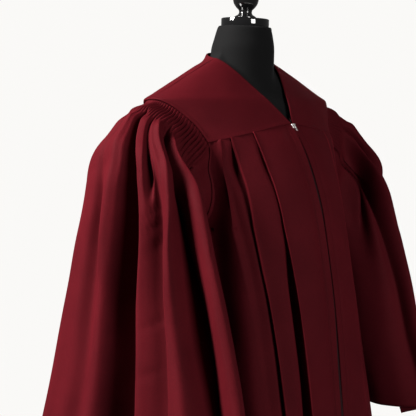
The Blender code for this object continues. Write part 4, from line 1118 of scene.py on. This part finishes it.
def woven(name, dark, light, pitch, roughness, sheen, tint, weave_depth, specular=0.25):
    """Plain-woven cloth: threads crossing over and under, a little slub, uneven dye and a painted highlight
    along fold edges.
    """
    nodes = Nodes(bpy.data.materials.new(name))
    weave = nodes.add("ShaderNodeUVMap", uv_map="weave").outputs[0]
    place = nodes.place()
    split = nodes.add("ShaderNodeSeparateXYZ", {0: weave})
    turns = [nodes.math("MULTIPLY", split.outputs[axis], math.tau / pitch) for axis in (0, 1)]
    threads = nodes.math("MULTIPLY", *(nodes.math("SINE", turn) for turn in turns))
    slub = nodes.noise(weave, 1 / (pitch * 3), 3.0, 0.6)
    grain = nodes.noise(place, 520.0, 3.0, 0.7)
    cloud = nodes.noise(place, 7.0, 3.0, 0.55)
    shade = nodes.plus(nodes.math("MULTIPLY", grain, 0.55), cloud, 0.45)
    # Painted highlight: the colour is lightened along fold edges, as light catching them would do.
    painted_highlight = nodes.add("ShaderNodeAttribute", attribute_name="edge_highlight").outputs["Fac"]
    shade = nodes.plus(nodes.spread(shade, 0.0, 1.0, 0.33, 0.67), painted_highlight, 2.2)
    rough = nodes.spread(grain, roughness - 0.06, roughness + 0.06, 0.3, 0.7)
    nodes.set(Base_Color=nodes.blend(shade, dark, light, False), Roughness=rough, Specular_IOR_Level=specular)
    nodes.set(Sheen_Weight=sheen, Sheen_Roughness=0.45, Sheen_Tint=(*tint, 1))
    fine = nodes.plus(nodes.math("MULTIPLY", threads, 0.22), slub, 0.6)
    nodes.bump(nodes.plus(fine, grain, 0.9), 0.55, weave_depth)
    nodes.owner.diffuse_color = (*light, 1)
    return nodes.owner


def metal_finish(name, colour, roughness):
    nodes = Nodes(bpy.data.materials.new(name))
    place = nodes.place()
    scratch = nodes.noise(place, 900.0, 4.0, 0.7)
    dim = tuple(c * 0.86 for c in colour)
    nodes.set(Base_Color=nodes.blend(scratch, dim, colour), Metallic=1.0)
    nodes.set(Roughness=nodes.spread(scratch, roughness - 0.08, roughness + 0.12))
    nodes.bump(nodes.noise(place, 2500.0, 2.0), 0.15, 0.00005)
    return nodes.owner


def gloss_finish(name, colour, roughness, coat, specular=0.6):
    nodes = Nodes(bpy.data.materials.new(name))
    place = nodes.place()
    smear = nodes.noise(place, 26.0, 4.0, 0.6)
    nodes.set(Base_Color=nodes.blend(smear, colour, tuple(c * 1.5 for c in colour)))
    nodes.set(Roughness=nodes.spread(smear, roughness * 0.7, roughness * 1.5))
    nodes.set(Coat_Weight=coat, Coat_Roughness=0.04, Specular_IOR_Level=specular)
    nodes.bump(nodes.noise(place, 60.0, 3.0), 0.04, 0.0004)
    return nodes.owner


# Studio


def area_light(name, azimuth, height, distance, size, power, colour, aim):
    data = bpy.data.lights.new(name, "AREA")
    data.shape = "RECTANGLE"
    data.size, data.size_y = size
    data.energy = power
    data.color = colour
    light = add_object(name, data)
    turn = math.radians(azimuth)
    light.location = (math.sin(turn) * distance, -math.cos(turn) * distance, height)
    light.rotation_mode = "QUATERNION"
    light.rotation_quaternion = (Vector(aim) - light.location).to_track_quat("-Z", "Y")
    light.visible_glossy = name != "far"


def build_world():
    """A pale backdrop for the camera, weak as a light and a little stronger in reflections."""
    nodes = Nodes(bpy.data.worlds.new("studio"), "Background")
    bpy.context.scene.world = nodes.owner
    path = nodes.add("ShaderNodeLightPath").outputs
    ambient = nodes.spread(path["Is Glossy Ray"], AMBIENT, GLOSSY_AMBIENT)
    nodes.set(Color=BACKDROP, Strength=nodes.spread(path["Is Camera Ray"], ambient, 1.0))


def build_studio():
    build_world()
    for light in LIGHTS:
        area_light(*light)
    view = bpy.context.scene.view_settings
    view.view_transform = "Standard"
    view.look = "None"
    view.exposure = 0.17
    view.gamma = 0.87


def build_floor():
    """A round pale floor that fades out, takes shadows and sends no diffuse light back up."""
    mesh = bpy.data.meshes.new("studio_floor")
    angles = np.linspace(0, math.tau, TURNED_STEPS, endpoint=False)
    verts = [(FLOOR_RADIUS * math.cos(a), FLOOR_RADIUS * math.sin(a), -0.0004) for a in angles]
    mesh.from_pydata(verts, [], [tuple(range(len(verts)))])
    floor = add_object("studio_floor", mesh)
    nodes = Nodes(bpy.data.materials.new("pale_floor"))
    reach = nodes.add("ShaderNodeVectorMath", {0: nodes.place()}, operation="LENGTH").outputs["Value"]
    fade = nodes.spread(reach, 1, 0, *FLOOR_FADE, "SMOOTHSTEP")
    nodes.set(Base_Color=(0.86, 0.85, 0.83, 1), Roughness=0.85, Specular_IOR_Level=0.1, Alpha=fade)
    mesh.materials.append(nodes.owner)
    floor.visible_diffuse = False


def build_camera():
    """The photograph's view, found from the garment's own points in it."""
    data = bpy.data.cameras.new("camera")
    data.lens = 76.62
    data.sensor_width = 36
    data.shift_x = -0.0890
    data.shift_y = 0.0630
    camera = add_object("camera", data)
    back = Vector((math.sin(CAMERA_AZIMUTH), -math.cos(CAMERA_AZIMUTH), 0))
    place = Vector((0, 0.02, 0)) + back * CAMERA_DISTANCE
    place.z = CAMERA_HEIGHT
    forward = -back * math.cos(CAMERA_PITCH) + Vector((0, 0, -math.sin(CAMERA_PITCH)))
    faced = forward.to_track_quat("-Z", "Y").to_matrix().to_4x4()
    camera.matrix_world = Matrix.Translation(place) @ faced @ Matrix.Rotation(CAMERA_ROLL, 4, "Z")
    bpy.context.scene.camera = camera


def dress_nodes(materials):
    """Better finishes for the solids that stay."""
    for node, material in materials.items():
        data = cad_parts[node].data
        data.materials.clear()
        data.materials.append(material)


def main():
    cloth = woven(
        "burgundy_weave", dark=(0.061, 0.0050, 0.0083), light=(0.101, 0.0084, 0.0135), pitch=0.9 * MM,
        roughness=0.62, sheen=0.010, tint=(0.8, 0.16, 0.20), weave_depth=0.0005, specular=0.035,
    )
    # Painted shade: the tape, which also colours the teeth, is a dark tape made darker still to stand in for
    # the shade in the zip's slot.
    tape = woven(
        "tape_weave", dark=(0.012, 0.002, 0.003), light=(0.018, 0.003, 0.0045), pitch=0.7 * MM,
        roughness=0.8, sheen=0.1, tint=(0.3, 0.1, 0.1), weave_depth=0.0002,
    )
    jersey = woven(
        "jersey_knit", dark=(0.0055, 0.0055, 0.0058), light=(0.0095, 0.0095, 0.0098), pitch=0.8 * MM,
        roughness=0.82, sheen=0.14, tint=(0.30, 0.30, 0.31), weave_depth=0.00025, specular=0.12,
    )
    thread = gloss_finish("burgundy_thread", (0.060, 0.0050, 0.0080), 0.7, 0.0, 0.05)
    nickel = metal_finish("nickel_plate", (0.90, 0.89, 0.87), 0.30)
    gloss = gloss_finish("black_lacquer", (0.006, 0.006, 0.0065), 0.07, 0.8)
    steel = gloss_finish("black_powder_coat", (0.014, 0.014, 0.015), 0.45, 0.0, 0.35)
    across = ease_ends(np.linspace(0, 1, 64))
    build_front_yokes(cloth, thread, across)
    build_back_yoke(cloth, thread, across)
    build_panels(cloth, thread)
    build_sleeves(cloth, thread)
    cloth_mesh("form_body", form_points()[::-1], True, 1, jersey, 0, name="form_cover")
    build_stand(gloss)
    build_teeth(tape)
    dress_nodes({
        "zip_tape_left": tape, "zip_tape_right": tape, "zip_slider": nickel, "zip_pull": nickel,
        "zip_top_stop_left": nickel, "zip_top_stop_right": nickel, "zip_bottom_stop": nickel,
        "pole": steel, "base": steel,
    })
    build_studio()
    build_floor()
    build_camera()
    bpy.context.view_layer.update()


main()
